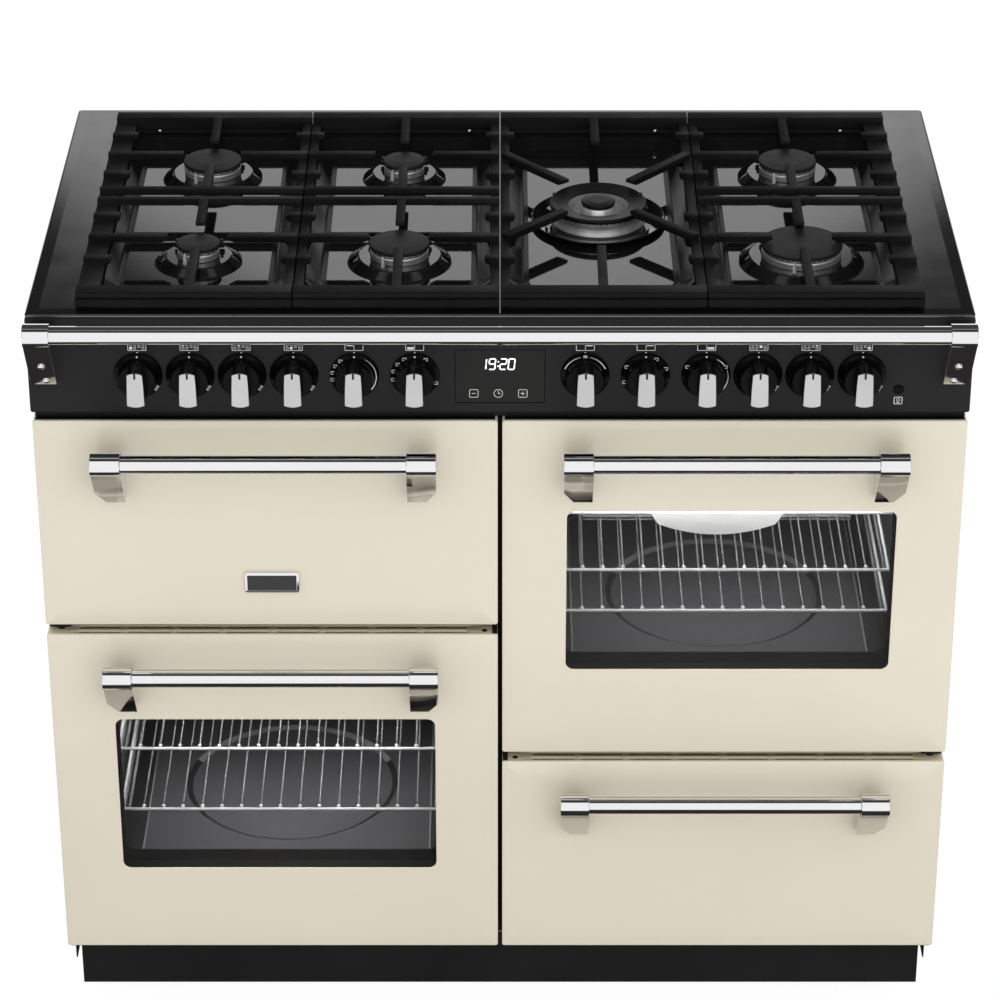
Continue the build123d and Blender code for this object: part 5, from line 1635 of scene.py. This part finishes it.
@dataclass
class Handrail:
    """Chrome rail in front of the hob on two cast brackets."""

    tube: float = 10.0
    reach: float = 42.0
    drop: float = 3.5
    bracket: float = 28.0
    sleeve: float = 12.5
    back: float = -2.0
    foot_drop: float = 77.0
    foot_size: Point2 = (8.0, 50.0)
    shy: float = 0.4
    bolts: tuple[Point2, ...] = ((15.5, 46.5), (17.5, 71.0))

    def build(self) -> None:
        """Make and seat the rail, its brackets and their bolts."""
        low, high = span("handrail")
        y, z = y_at(self.back - self.reach), RIM - self.drop
        inner = high.x - self.bracket
        mount(tube("rail_tube", (-inner, y, z), 2 * inner, self.tube), "handle_chrome", "handrail")
        foot = (y_at(self.back), RIM - self.foot_drop)
        outline = arm_outline((y, z), self.sleeve - 0.6, foot, self.foot_size)
        for name, left in (("left", low.x), ("right", inner)):
            piece = sleeve(f"rail_sleeve_{name}", (left, y, z), self.bracket, self.sleeve, 0.9)
            mount(piece, "handle_chrome")
            mould = Mould()
            width = self.bracket - 2 * self.shy
            mould.prism([(left + self.shy, *point) for point in outline], (width, 0, 0))
            mount(mould.piece(f"rail_arm_{name}", CHROME, bevel=0.8, crease=25), "handle_chrome")
        start = Vector((y - self.sleeve * 0.8, z - self.sleeve * 0.6))
        end = Vector((foot[0] - self.foot_size[0], foot[1]))
        facing = (QUARTER + math.atan2(end.x - start.x, start.y - end.y), 0.0, 0.0)
        places = []
        for inset, drop in self.bolts:
            where = start.lerp(end, (start.y - (RIM - drop)) / (start.y - end.y))
            places += [(x, *where) for x in (low.x + inset, high.x - inset)]
        piece = heads().run("rail_bolts", places, CHROME, Radius=3.9, Height=2.6, Facing=facing)
        mount(piece, "handle_chrome")


@dataclass
class Handle:
    """Chrome door handle: a tube between two capped posts."""

    door: str
    foot_depth: float
    tube: float = 10.0
    cap: float = 12.5
    cap_length: float = 32.0
    post_shy: float = 0.6
    foot_cut: Point2 = (11.0, 18.0)
    foot_drop: float = 61.0
    foot_height: float = 36.0

    def build(self) -> None:
        """Make and seat the handle's pieces."""
        body = f"{self.door}_door"
        node = f"{body}_handle"
        low, high = span(node)
        y, z = low.y + self.cap, high.z - self.cap
        left, right = low.x + self.cap_length, high.x - self.cap_length
        piece = tube(f"{node}_tube", (left, y, z), right - left, self.tube)
        mount(piece, "handle_chrome", node, body=body)
        for name, cap_at, inner, side in (("left", low.x, left, -1), ("right", right, right, 1)):
            piece = sleeve(f"{node}_cap_{name}", (cap_at, y, z), self.cap_length, self.cap, 1.0)
            mount(piece, "handle_chrome", body=body)
            mould = self._post(inner, side, y, z)
            piece = mould.piece(f"{node}_post_{name}", CHROME, bevel=0.7, crease=25)
            mount(piece, "handle_chrome", body=body)

    def _post(self, inner: float, side: int, y: float, z: float) -> Mould:
        """Post from a cap back and down to the door, its lower outer corner cut off.

        Args:
            inner: X of the post's inner face.
            side: -1 for the left post, 1 for the right one.
            y: Y of the tube's centre.
            z: Z of the tube's centre.

        Returns:
            The post's mesh.
        """
        foot = (span(f"{self.door}_door_skin")[0].y, z - self.foot_drop)
        outline = arm_outline((y, z), self.cap - 1.0, foot, (self.foot_depth, self.foot_height))
        width = self.cap_length - self.post_shy
        mould = Mould()
        mould.prism([(inner, *point) for point in outline], (side * width, 0, 0))
        across, up = self.foot_cut
        mould.cut((inner + side * (width - across), y, foot[1]), (side * up, 0.0, -across))
        return mould


# Doors


@dataclass
class Door:
    """Enamelled door skin with its sloped border, window or vents, and handle."""

    name: str
    window: bool = False
    vents: bool = False
    badge: bool = False
    post_foot: float = 15.0
    border: float = 27.0
    crown: float = 2.4
    edge: float = 2.6
    corner: float = 2.6
    flange: float = 18.0
    wall: float = 1.2
    pane: Point2 = (356.0, 199.0)
    pane_rise: float = 0.5
    pane_corner: float = 9.0
    slot: Point2 = (47.0, 3.0)
    slot_pitch: float = 54.3
    slot_rows: Point2 = (5.6, 16.6)
    slot_count: int = 8
    shade_inset: float = 14.0
    shade_drop: float = 3.4
    badge_size: Point2 = (59.0, 24.5)
    badge_depth: float = 4.0
    badge_rise: float = 56.0
    badge_across: float = 2.1
    stop: Point2 = (0.8, 6.2)
    stop_height: float = 0.7
    hole_inset: float = 14.6
    hole_shift: float = 4.0
    hole_radius: float = 3.1
    hole_proud: float = 0.06

    def build(self) -> None:
        """Make and seat the door's pieces."""
        self._skin()
        dress(f"{self.body}_liner", LINER)
        if self.window:
            dress(f"{self.body}_panes", PANE)
        Handle(self.name, self.post_foot).build()
        if self.badge:
            self._badge()
        if self.vents:
            self._catch()

    @property
    def body(self) -> str:
        """CAD body of the door."""
        return f"{self.name}_door"

    def _catch(self) -> None:
        """Dark stop at the free end of the door's top; painted shade in its screw hole and below its slots.
        """
        low, high = span(f"{self.body}_skin")
        free, inward = (high.x, -1) if low.x < 0 else (low.x, 1)
        front, back, top = low.y + self.crown + 2.0, high.y - 1.5, high.z
        inset, shade = self.shade_inset, top - self.shade_drop
        mould = Mould()
        near, far = (free + inward * length for length in self.stop)
        mould.box((near, front, top), (far, back, top + self.stop_height))
        mould.box((low.x + inset, front, shade), (high.x - inset, back, shade + 1.0))
        # The screw hole is painted shade: a dark disc just proud of the top.
        hole_at = (free + inward * self.hole_inset, (front + back) / 2 - self.hole_shift)
        hole = circle(hole_at, self.hole_radius, 24)
        mould.prism([(x, y, top) for x, y in hole], (0.0, 0.0, self.hole_proud))
        mount(mould.piece(f"{self.body}_stop", BLACK_AND_SHADE, crease=30), "door_enamel", body=self.body)

    def _badge(self) -> None:
        """Bare badge plate: a bright bevelled frame round a dark field."""
        low, high = span(f"{self.body}_skin")
        centre = ((low.x + high.x) / 2 + self.badge_across, low.z + self.badge_rise)
        face, front = low.y, low.y - self.badge_depth
        corners = [(0.0, face), (0.0, front + 1.4), (2.4, front), (2.7, front), (2.9, front + 0.5)]
        rect = Rect(centre, self.badge_size, 2.0, ease=0.4, steps=4)
        mould = Mould()
        mould.solid(rect.front(rounded(corners, 0.3, 3, 0.1)), index=1)
        mount(mould.piece("badge_plate", CHROME, BADGE_DARK, crease=40), "handle_chrome", body=self.body)

    def _skin(self) -> None:
        """The pressed skin."""
        mould = Mould()
        node = f"{self.body}_skin"
        low, high = span(node)
        face, back, outline = low.y, high.y, low.y + self.crown
        rect = Rect.facing(node, self.corner, steps=6)
        rear = rounded([(self.flange, back), (0.0, back), (0.0, back - 3.0)], 1.4)
        shares = steps_to(0.0, 1.0, 8)[2:]
        slope = [(self.border * t, face + self.crown * (1 - t) ** 2) for t in shares]
        front = rounded([(0.0, outline + 3.3), (0.0, outline), slope[0]], self.edge)[:-1]
        front += [*slope, (self.border + 8.0, face)]
        _, near = mould.rings(rect.front(rear))
        far, inner = mould.rings(rect.front(front))
        top_side = 13
        mould.bridge(near, far, skip=[top_side])
        top = [near[top_side], near[top_side + 1], far[top_side + 1], far[top_side]]
        slots = self._slots(mould, rect.centre[0], outline, high.z) if self.vents else []
        mould.fill(top, *slots, index=1)
        holes = []
        if self.window:
            centre = (rect.centre[0], rect.centre[1] + self.pane_rise)
            profile = rounded([(-5.0, face), (0.0, face), (0.0, face + 1.6)], 1.1)
            holes = mould.rings(Rect(centre, self.pane, self.pane_corner).front(profile))[:1]
        mould.fill(inner, *holes)
        # A vented door's top face takes darker cream, painted shade from the door above; a door without
        # vents takes black there.
        top_finish = SHADED_CREAM_TOP if self.vents else BLACK_PAINT
        piece = mould.piece(f"{self.body}_enamel", CREAM, top_finish, wall=self.wall)
        mount(piece, "door_enamel", f"{self.body}_skin", body=self.body)

    def _slots(self, mould: Mould, x: float, outline: float, top: float) -> list[list]:
        """Loops of two rows of slots in the door's top.

        Args:
            mould: Mesh of the skin.
            x: X of the door's middle.
            outline: Y of the door's front edge.
            top: Height of the slots.

        Returns:
            The loops.
        """
        loops, half = [], (self.slot_count - 1) / 2
        for row in self.slot_rows:
            for i in range(self.slot_count):
                at = (x + (i - half) * self.slot_pitch, outline + row)
                shape = round_rect(at, self.slot, self.slot[1] / 2, 4)
                loops.append(mould.loop([(px, py, top) for px, py in shape]))
        return loops


# Chassis and ovens


@dataclass
class Chassis:
    """Panels, cavities and inner works that keep their solids."""

    screw: float = 4.2
    screw_height: float = 2.0
    screw_inset: float = 12.0
    screw_rows: int = 6
    screw_columns: int = 7
    side_inset: float = 30.0
    side_ends: Point2 = (40.0, 60.0)

    def _screws(self) -> None:
        """Pan-head screws round the back panel and along both sides."""
        head = {"Radius": self.screw, "Height": self.screw_height}
        low, high = span("back_panel")
        inset = self.screw_inset
        left, right, foot, top = low.x + inset, high.x - inset, low.z + inset, high.z - inset
        heights = steps_to(foot, top, self.screw_rows - 1)
        across = steps_to(left, right, self.screw_columns - 1)[1:-1]
        rear = [(x, high.y, z) for z in heights for x in (left, right)]
        rear += [(x, high.y, z) for x in across for z in (foot, top)]
        piece = heads().run("back_screws", rear, STEEL, Facing=(QUARTER, 0.0, 0.0), **head)
        mount(piece, "zinc_sheet")
        (foot, top), inset = self.side_ends, self.side_inset
        for name in ("left", "right"):
            low, high = span(f"side_panel_{name}")
            face = low.x if name == "left" else high.x
            rows = (low.y + inset, high.y - inset)
            spots = [(face, y, z) for y in rows for z in (low.z + foot, high.z - top)]
            facing = (0.0, QUARTER, 0.0)
            piece = heads().run(f"side_screws_{name}", spots, BLACK_PAINT, Facing=facing, **head)
            mount(piece, "side_paint")

    def build(self) -> None:
        """Give every remaining solid its finish and fasten the panels."""
        self._screws()
        finishes = {
            ZINC: ("back_panel", "base_pan"),
            BLACK_PAINT: ("door_hinges", "front_frame"),
            RUBBER: ("door_seals",),
            CAVITY: (
                "fan_covers", "grill_cavity", "left_oven_cavity", "right_oven_cavity", "slow_oven_cavity"
            ),
            STEEL: ("fan_motors", "left_oven_fan", "right_oven_fan", "levelling_feet"),
            BRASS: ("gas_rail",),
            SHEATH: ("grill_element",),
            MOULDING: ("mains_gland", "oven_switches"),
            SIDE_PAINT: ("plinth", "side_panel_left", "side_panel_right"),
        }
        for finish, nodes in finishes.items():
            for node in nodes:
                dress(node, finish)


def area_lamp(name: str, place: Sequence[float], size: Point2, power: float) -> Piece:
    """Rectangular lamp that no mirror shows, in metres.

    Args:
        name: Name of the lamp.
        place: Its place.
        size: Width and height.
        power: Watts.

    Returns:
        The lamp, facing down.
    """
    data = bpy.data.lights.new(name, "AREA")
    data.shape = "RECTANGLE"
    data.size, data.size_y = size
    data.energy = power
    lamp = link(bpy.data.objects.new(name, data))
    lamp.location = place
    lamp.visible_glossy = False
    return lamp


@dataclass
class Ovens:
    """Wire shelves, runners, frying tray, floor beads and lamps of the two fan ovens."""

    shares: dict[str, tuple[float, ...]] = field(
        default_factory=lambda: {"right_oven": (0.2684, 0.4345), "left_oven": (0.2684, 0.5304)}
    )
    tray_share: float = 0.6645
    shelf_shift: float = -2.0
    tray_shift: float = -12.0
    basket_half: float = 147.0
    basket_depth: float = 10.0
    basket_inset: float = 5.0
    basket_lines: Point2 = (0.35, 0.68)
    floor_ring: float = 127.0
    ring_slope: float = 6.6
    ring_back: Point2 = (24.0, 156.0)
    ring_steps: int = 96
    bead_inset: Point3 = (22.0, 5.0, 22.0)
    bead_profile: tuple[Point2, ...] = ((1.06, 0.02), (1.04, 0.7), (1.0, 0.7), (0.97, 0.1))
    cove_profile: tuple[Point2, ...] = ((0.97, 0.1), (0.55, 0.8), (0.25, 3.2), (0.06, 8.0), (0.01, 13.0))
    sheet: float = 1.5
    ring_depth: float = 3.0
    half: float = 183.6
    reach: Point2 = (12.0, 362.0)
    wire: float = 1.8
    thin: float = 1.0
    bead: float = 2.3
    lift: float = 4.2
    cross_count: int = 15
    cross_pitch: float = 22.4
    cross_inset: Point2 = (6.5, 2.5)
    runner_reach: Point2 = (24.0, 360.0)
    runner_pair: Point2 = (7.6, 13.6)
    runner_drop: float = 1.9
    upright: float = 3.0
    upright_top: float = 12.0
    mesh: float = 0.55
    mesh_pitch: float = 8.0
    plate: Point2 = (146.0, 27.0)
    plate_shoulder: float = 14.0
    plate_taper: float = 8.5
    lamp_power: float = 1.1
    strip_power: float = 0.2
    strip_share: float = 0.78
    strip_tilt: float = 28.0

    def build(self) -> None:
        """Make and seat everything in the two ovens."""
        self._shelves()
        self._runners()
        self._tray()
        for name in self.shares:
            self._bead(name)
            self._ring(name)
            self._lamps(name)

    def room(self, name: str) -> tuple[Vector, Vector]:
        """Lowest and highest inner corner of a cavity.

        Args:
            name: Name of the oven.

        Returns:
            The two corners.
        """
        low, high = span(f"{name}_cavity")
        step = Vector((self.sheet, 0.0, self.sheet + self.ring_depth))
        return low + step, high - Vector((self.sheet, self.sheet, self.sheet))

    def _level(self, name: str, share: float) -> Point3:
        """Middle X, front Y and wire height at a share of a cavity's height."""
        low, high = self.room(name)
        return (low.x + high.x) / 2, low.y, low.z + share * (high.z - low.z) + self.lift

    def _wires(
        self, name: str, places: list, reach: Point3, radius: float, finish: Finish, *replaces: str
    ) -> None:
        """Make and seat one run of round wires.

        Args:
            name: Name of the piece.
            places: Where each wire starts.
            reach: From a wire's start to its end.
            radius: Radius of the wires.
            finish: Finish of the wires.
            replaces: CAD nodes that the piece stands for.
        """
        piece = rods().run(name, places, finish, Reach=reach, Radius=radius)
        mount(piece, "wire_chrome", *replaces)

    def _frame(self, name: str, levels: list, node: str) -> None:
        """Round wire frame at each level.

        Args:
            name: First word of the names of its pieces.
            levels: Middle X, front Y and Z of each frame.
            node: CAD node that the frames stand for.
        """
        first, last = self.reach
        ends, inset = (first + self.wire, last - self.wire), self.half - self.wire
        bars = [(x - self.half, y + end, z) for x, y, z in levels for end in ends]
        sides = [(x + side * inset, y + first, z) for x, y, z in levels for side in (-1, 1)]
        self._wires(f"{name}_bars", bars, (2 * self.half, 0.0, 0.0), self.wire, LIT_SHELF_WIRE, node)
        self._wires(f"{name}_sides", sides, (0.0, last - first, 0.0), self.wire, LIT_SHELF_WIRE)

    def _shelves(self) -> None:
        """Four shelves with their cross wires and the beads on the wires' ends."""
        levels = []
        for name, shares in self.shares.items():
            for x, y, z in (self._level(name, share) for share in shares):
                levels.append((x + self.shelf_shift, y, z))
        self._frame("shelf", levels, "oven_shelves")
        (first, last), (near, far) = self.reach, self.cross_inset
        half = (self.cross_count - 1) / 2
        across = [(i - half) * self.cross_pitch for i in range(self.cross_count)]
        starts = [(x + off, y + first + near, z + self.thin) for x, y, z in levels for off in across]
        reach = (0.0, last - first - near - far, 0.0)
        self._wires("shelf_wires", starts, reach, self.thin, CROSS_WIRE)
        size = {"Radius": self.bead, "Height": self.bead}
        piece = heads().run("shelf_beads", starts, LIT_SHELF_WIRE, Facing=(0.0, 0.0, 0.0), **size)
        mount(piece, "wire_chrome")

    def _runners(self) -> None:
        """Paired side rails at each level on two uprights a side."""
        rails, posts = [], {}
        first, last = self.runner_reach
        for name, shares in self.shares.items():
            low, high = self.room(name)
            held = shares + ((self.tray_share,) if name == "right_oven" else ())
            heights = [share * (high.z - low.z) for share in held]
            places = []
            for wall, side in ((low.x, 1), (high.x, -1)):
                for rise in heights:
                    z = low.z + rise - self.runner_drop
                    rails += [(wall + side * off, low.y + first, z) for off in self.runner_pair]
                for end in (first + self.upright, last - self.upright):
                    places.append((wall + side * self.upright, low.y + end, low.z))
            posts[name] = places, (0.0, 0.0, max(heights) + self.upright_top)
        reach = (0.0, last - first, 0.0)
        self._wires("runner_rails", rails, reach, self.wire, CROSS_WIRE, "shelf_runners")
        for name, (places, reach) in posts.items():
            self._wires(f"{name}_uprights", places, reach, self.upright - 0.2, CROSS_WIRE)

    def _tray(self) -> None:
        """Frying tray: wire rim, mesh basket and a bare white plate in front."""
        x, y, z = self._level("right_oven", self.tray_share)
        self._frame("tray", [(x, y, z)], "air_fry_tray")
        x += self.tray_shift
        (first, last), inset = self.reach, self.basket_inset
        half, deep, floor = self.basket_half, self.basket_depth, z - self.basket_depth
        near, far, left = y + first + inset, y + last - inset, x - half
        across = steps_to(left, x + half, int(2 * half / self.mesh_pitch))
        along = steps_to(near, far, int((far - near) / self.mesh_pitch))
        lines = [(left, v, floor) for v in along]
        lines += [(left, v, z - share * deep) for v in (near, far) for share in self.basket_lines]
        runs = (
            ("across", lines, (2 * half, 0.0, 0.0)),
            ("along", [(v, near, floor) for v in across], (0.0, far - near, 0.0)),
            ("up", [(v, w, floor) for v in across for w in (near, far)], (0.0, 0.0, deep)),
            ("up_sides", [(v, w, floor) for w in along for v in (left, x + half)], (0.0, 0.0, deep)),
        )
        for name, places, reach in runs:
            self._wires(f"tray_mesh_{name}", places, reach, self.mesh, CROSS_WIRE)
        wide, tall = self.plate[0] / 2, self.plate[1]
        narrow, shoulder = wide - self.plate_taper, self.plate_shoulder
        outline = [(wide, 0.0), (-wide, 0.0)]
        for t in steps_to(-1.0, 1.0, 24):
            outline.append((t * narrow, -shoulder - (tall - shoulder) * (1 - t * t)))
        mould = Mould()
        mould.prism([(x + px, y + first - 0.4, z + 0.8 + pz) for px, pz in outline], (0.0, 1.2, 0.0))
        mount(mould.piece("tray_plate", PLATE_WHITE, bevel=0.3), "wire_chrome")

    def _bead(self, name: str) -> None:
        """Raised line round a cavity's floor in painted light, and the cove outside it in painted shade.

        Args:
            name: Name of the oven.
        """
        low, high = self.room(name)
        side, front, back = self.bead_inset

        def ring(share: float, rise: float) -> list[Point3]:
            """One ring of the bead or the cove.

            Args:
                share: Share of the inset.
                rise: Height above the floor.

            Returns:
                The points.
            """
            centre = ((low.x + high.x) / 2, (low.y + high.y + share * (front - back)) / 2)
            size = (high.x - low.x - 2 * share * side, high.y - low.y - share * (front + back))
            return [(px, py, low.z + rise) for px, py in round_rect(centre, size, 4.0 + 14.0 * share)]

        mould = Mould()
        for index, profile in enumerate((self.bead_profile, self.cove_profile)):
            mould.rings([ring(*p) for p in profile], index=index)
        mount(mould.piece(f"{name}_floor_bead", RING_LIT, COVE_SHADE), "cavity_enamel")

    def _ring(self, name: str) -> None:
        """Sloping edge of the pressed round in a cavity's floor: painted light at the back, painted shade
        elsewhere.

        Args:
            name: Name of the oven.
        """
        low, high = self.room(name)
        seat = ((low.x + high.x) / 2, (low.y + high.y) / 2, low.z)
        outer, inner = self.floor_ring + 0.3, self.floor_ring - self.ring_slope
        profile = [(outer, 0.03), (inner, 0.1 - self.ring_depth)]
        start, end = (self.ring_steps * a / 360 - 0.5 for a in self.ring_back)
        # The back arc takes painted light, the rest painted shade.
        pale = [i for i in range(self.ring_steps) if start < i < end]
        dark = [i for i in range(self.ring_steps) if i not in pale]
        mould = Mould()
        for index, hidden in enumerate((pale, dark)):
            mould.turned(profile, Turn.UP, seat, self.ring_steps, hidden, index)
        mount(mould.piece(f"{name}_floor_ring", RING_DARK, RING_LIT), "cavity_enamel")

    def _lamps(self, name: str) -> None:
        """Lamp over the front of a cavity's floor, and a strip behind the door.

        Args:
            name: Name of the oven.
        """
        low, high = self.room(name)
        x = (low.x + high.x) / 2
        strip_at = (x, low.y - 4.0, low.z + self.strip_share * (high.z - low.z))
        lamps = (
            ("lamp", (x, low.y + 112.0, high.z - 14.0), (0.34, 0.2), 75.0, self.lamp_power, 0.0),
            ("strip", strip_at, (0.34, 0.006), 150.0, self.strip_power, self.strip_tilt),
        )
        for kind, place, size, cone, power, tilt in lamps:
            lamp = area_lamp(f"{name}_{kind}", Vector(place) * MM, size, power)
            lamp.data.spread = math.radians(cone)
            lamp.rotation_euler = (math.radians(tilt), 0.0, 0.0)
            lamp.visible_camera = False


# Studio


@dataclass
class Studio:
    """Camera at the photograph's place, pale floor, soft lamps and a studio that metal can mirror."""

    camera_back: float = 3.4377
    camera_up: float = 1.6447
    camera_tilt: float = 61.5
    lens: float = 130.5
    floor_half: float = 14.0
    dark_ring: Point2 = (0.9, 1.15)
    aim: Point3 = (0.0, 0.0, 0.55)
    sensor: float = 36.0
    floor_paint: float = 0.86
    floor_glow: float = 1.05
    floor_share: float = 0.9
    floor_mirror_shade: Colour = (0.03, 0.027, 0.027)
    dark_width: float = 0.8
    turn_blend: float = 0.25
    slant_guard: float = 0.05
    edge_behind: Point3 = (0.441, 2.6, 0.26)
    edge_ahead: float = 0.86
    edge_blur: float = 0.014
    strip_depth: Point2 = (0.006, 0.0005)
    strip_height: Point2 = (0.8, 0.9)
    strip_light: float = 0.3
    wing_reach: Point2 = (0.2, 0.42)
    wing_shade: float = 0.72
    backdrop: Point2 = (1.15, 0.1)
    ceiling_shade: float = 0.957
    ambient: float = 0.98
    boxes: tuple[tuple[str, Point3, float, float], ...] = (
        ("key_box", (-1.2, -2.4, 3.2), 2.4, 5.0),
        ("fill_box", (1.6, -2.6, 2.6), 2.4, 17.0),
        ("top_box", (0.0, 0.2, 3.4), 2.0, 10.0),
        ("low_box", (0.7, -3.2, 0.7), 1.8, 12.0),
    )

    def build(self) -> None:
        """Make the camera, the floor, the lamps and the world."""
        self._camera()
        self._floor()
        for name, place, size, power in self.boxes:
            lamp = area_lamp(name, place, (size, size), power)
            lamp.rotation_euler = (Vector(self.aim) - Vector(place)).to_track_quat("-Z", "Y").to_euler()
        self._world()
        bpy.context.scene.view_settings.view_transform = "Standard"

    def _camera(self) -> None:
        """Camera fitted to the photograph."""
        data = bpy.data.cameras.new("camera")
        data.lens = self.lens
        data.sensor_width = self.sensor
        data.dof.use_dof = False
        camera = link(bpy.data.objects.new("camera", data))
        camera.location = (0.0, FRONT * MM - self.camera_back, RIM * MM + self.camera_up)
        camera.rotation_euler = (math.radians(self.camera_tilt), 0.0, 0.0)
        bpy.context.scene.camera = camera

    def _floor(self) -> None:
        """Pale floor that reads as white, keeps a soft shadow and, in mirrors only, shows painted shade
        close by.
        """
        half = self.floor_half
        mesh = bpy.data.meshes.new("floor")
        corners = [(-half, -half, 0), (half, -half, 0), (half, half, 0), (-half, half, 0)]
        mesh.from_pydata(corners, [], [(0, 1, 2, 3)])
        floor = link(bpy.data.objects.new("floor", mesh))
        material = bpy.data.materials.new("pale_floor")
        graph = Graph(material)
        paint = graph.node("ShaderNodeBsdfDiffuse", inputs={"Color": (*grey(self.floor_paint), 1.0)})
        glow = {"Color": (*grey(1.0), 1.0), "Strength": self.floor_glow}
        light = graph.node("ShaderNodeEmission", inputs=glow)
        # Painted shade close to the cooker, seen by glossy rays only.
        dim = graph.node("ShaderNodeBsdfDiffuse", inputs={"Color": (*self.floor_mirror_shade, 1.0)})
        across, along, _ = graph.axes(graph.place())
        across = across * self.dark_width
        far = ((across * across + along * along) ** 0.5).over(*self.dark_ring)
        hidden = graph.rays("Glossy") * (1.0 - far)
        near = graph.node("ShaderNodeMixShader", inputs={0: hidden, 1: paint, 2: dim})
        share = graph.seen() * self.floor_share * (1.0 - hidden)
        shader = graph.node("ShaderNodeMixShader", inputs={0: share, 1: near, 2: light})
        graph.node("ShaderNodeOutputMaterial", inputs={"Surface": shader})
        mesh.materials.append(material)

    def _world(self) -> None:
        """White backdrop below, darker studio above with one strip of light overhead."""
        world = bpy.data.worlds.new("studio")
        bpy.context.scene.world = world
        graph = Graph(world)
        across, depth, height = graph.axes(graph.node("ShaderNodeTexCoord", output="Generated"))
        ahead = (depth * -1.0).over(-self.turn_blend, self.turn_blend)
        slant = across / graph.math("MAXIMUM", depth, self.slant_guard)
        crest, bend, least = self.edge_behind
        behind = graph.math("MAXIMUM", crest - slant * slant * bend, least)
        edge = behind * (1.0 - ahead) + ahead * self.edge_ahead
        dark = (height - edge).over(-self.edge_blur, self.edge_blur)
        strip = (depth * depth).over(*self.strip_depth) * height.over(*self.strip_height)
        wings = (across * across).over(*self.wing_reach) * self.wing_shade
        white, fall = self.backdrop
        lit = (white - ahead * fall) * (1.0 - dark * self.ceiling_shade)
        mirrored = (lit + strip * self.strip_light) * (1.0 - wings)
        seen = graph.seen()
        shown = graph.math("MAXIMUM", mirrored, graph.rays("Camera"))
        strength = shown * seen + (1.0 - seen) * self.ambient
        inputs = {"Color": (*grey(1.0), 1.0), "Strength": strength}
        light = graph.node("ShaderNodeBackground", inputs=inputs)
        graph.node("ShaderNodeOutputWorld", inputs={"Surface": light})


def main() -> None:
    """Build every sub-assembly in order; each piece's face count is logged."""
    logging.basicConfig(level=logging.INFO, format="%(name)s: %(message)s")
    Studio().build()
    Hob().build()
    Fascia().build()
    Handrail().build()
    doors = (
        Door("grill", badge=True),
        Door("left_oven", window=True, vents=True),
        Door("right_oven", window=True),
        Door("slow_oven", vents=True, post_foot=11.0),
    )
    for door in doors:
        door.build()
    Ovens().build()
    Chassis().build()


if __name__ == "__main__":
    main()
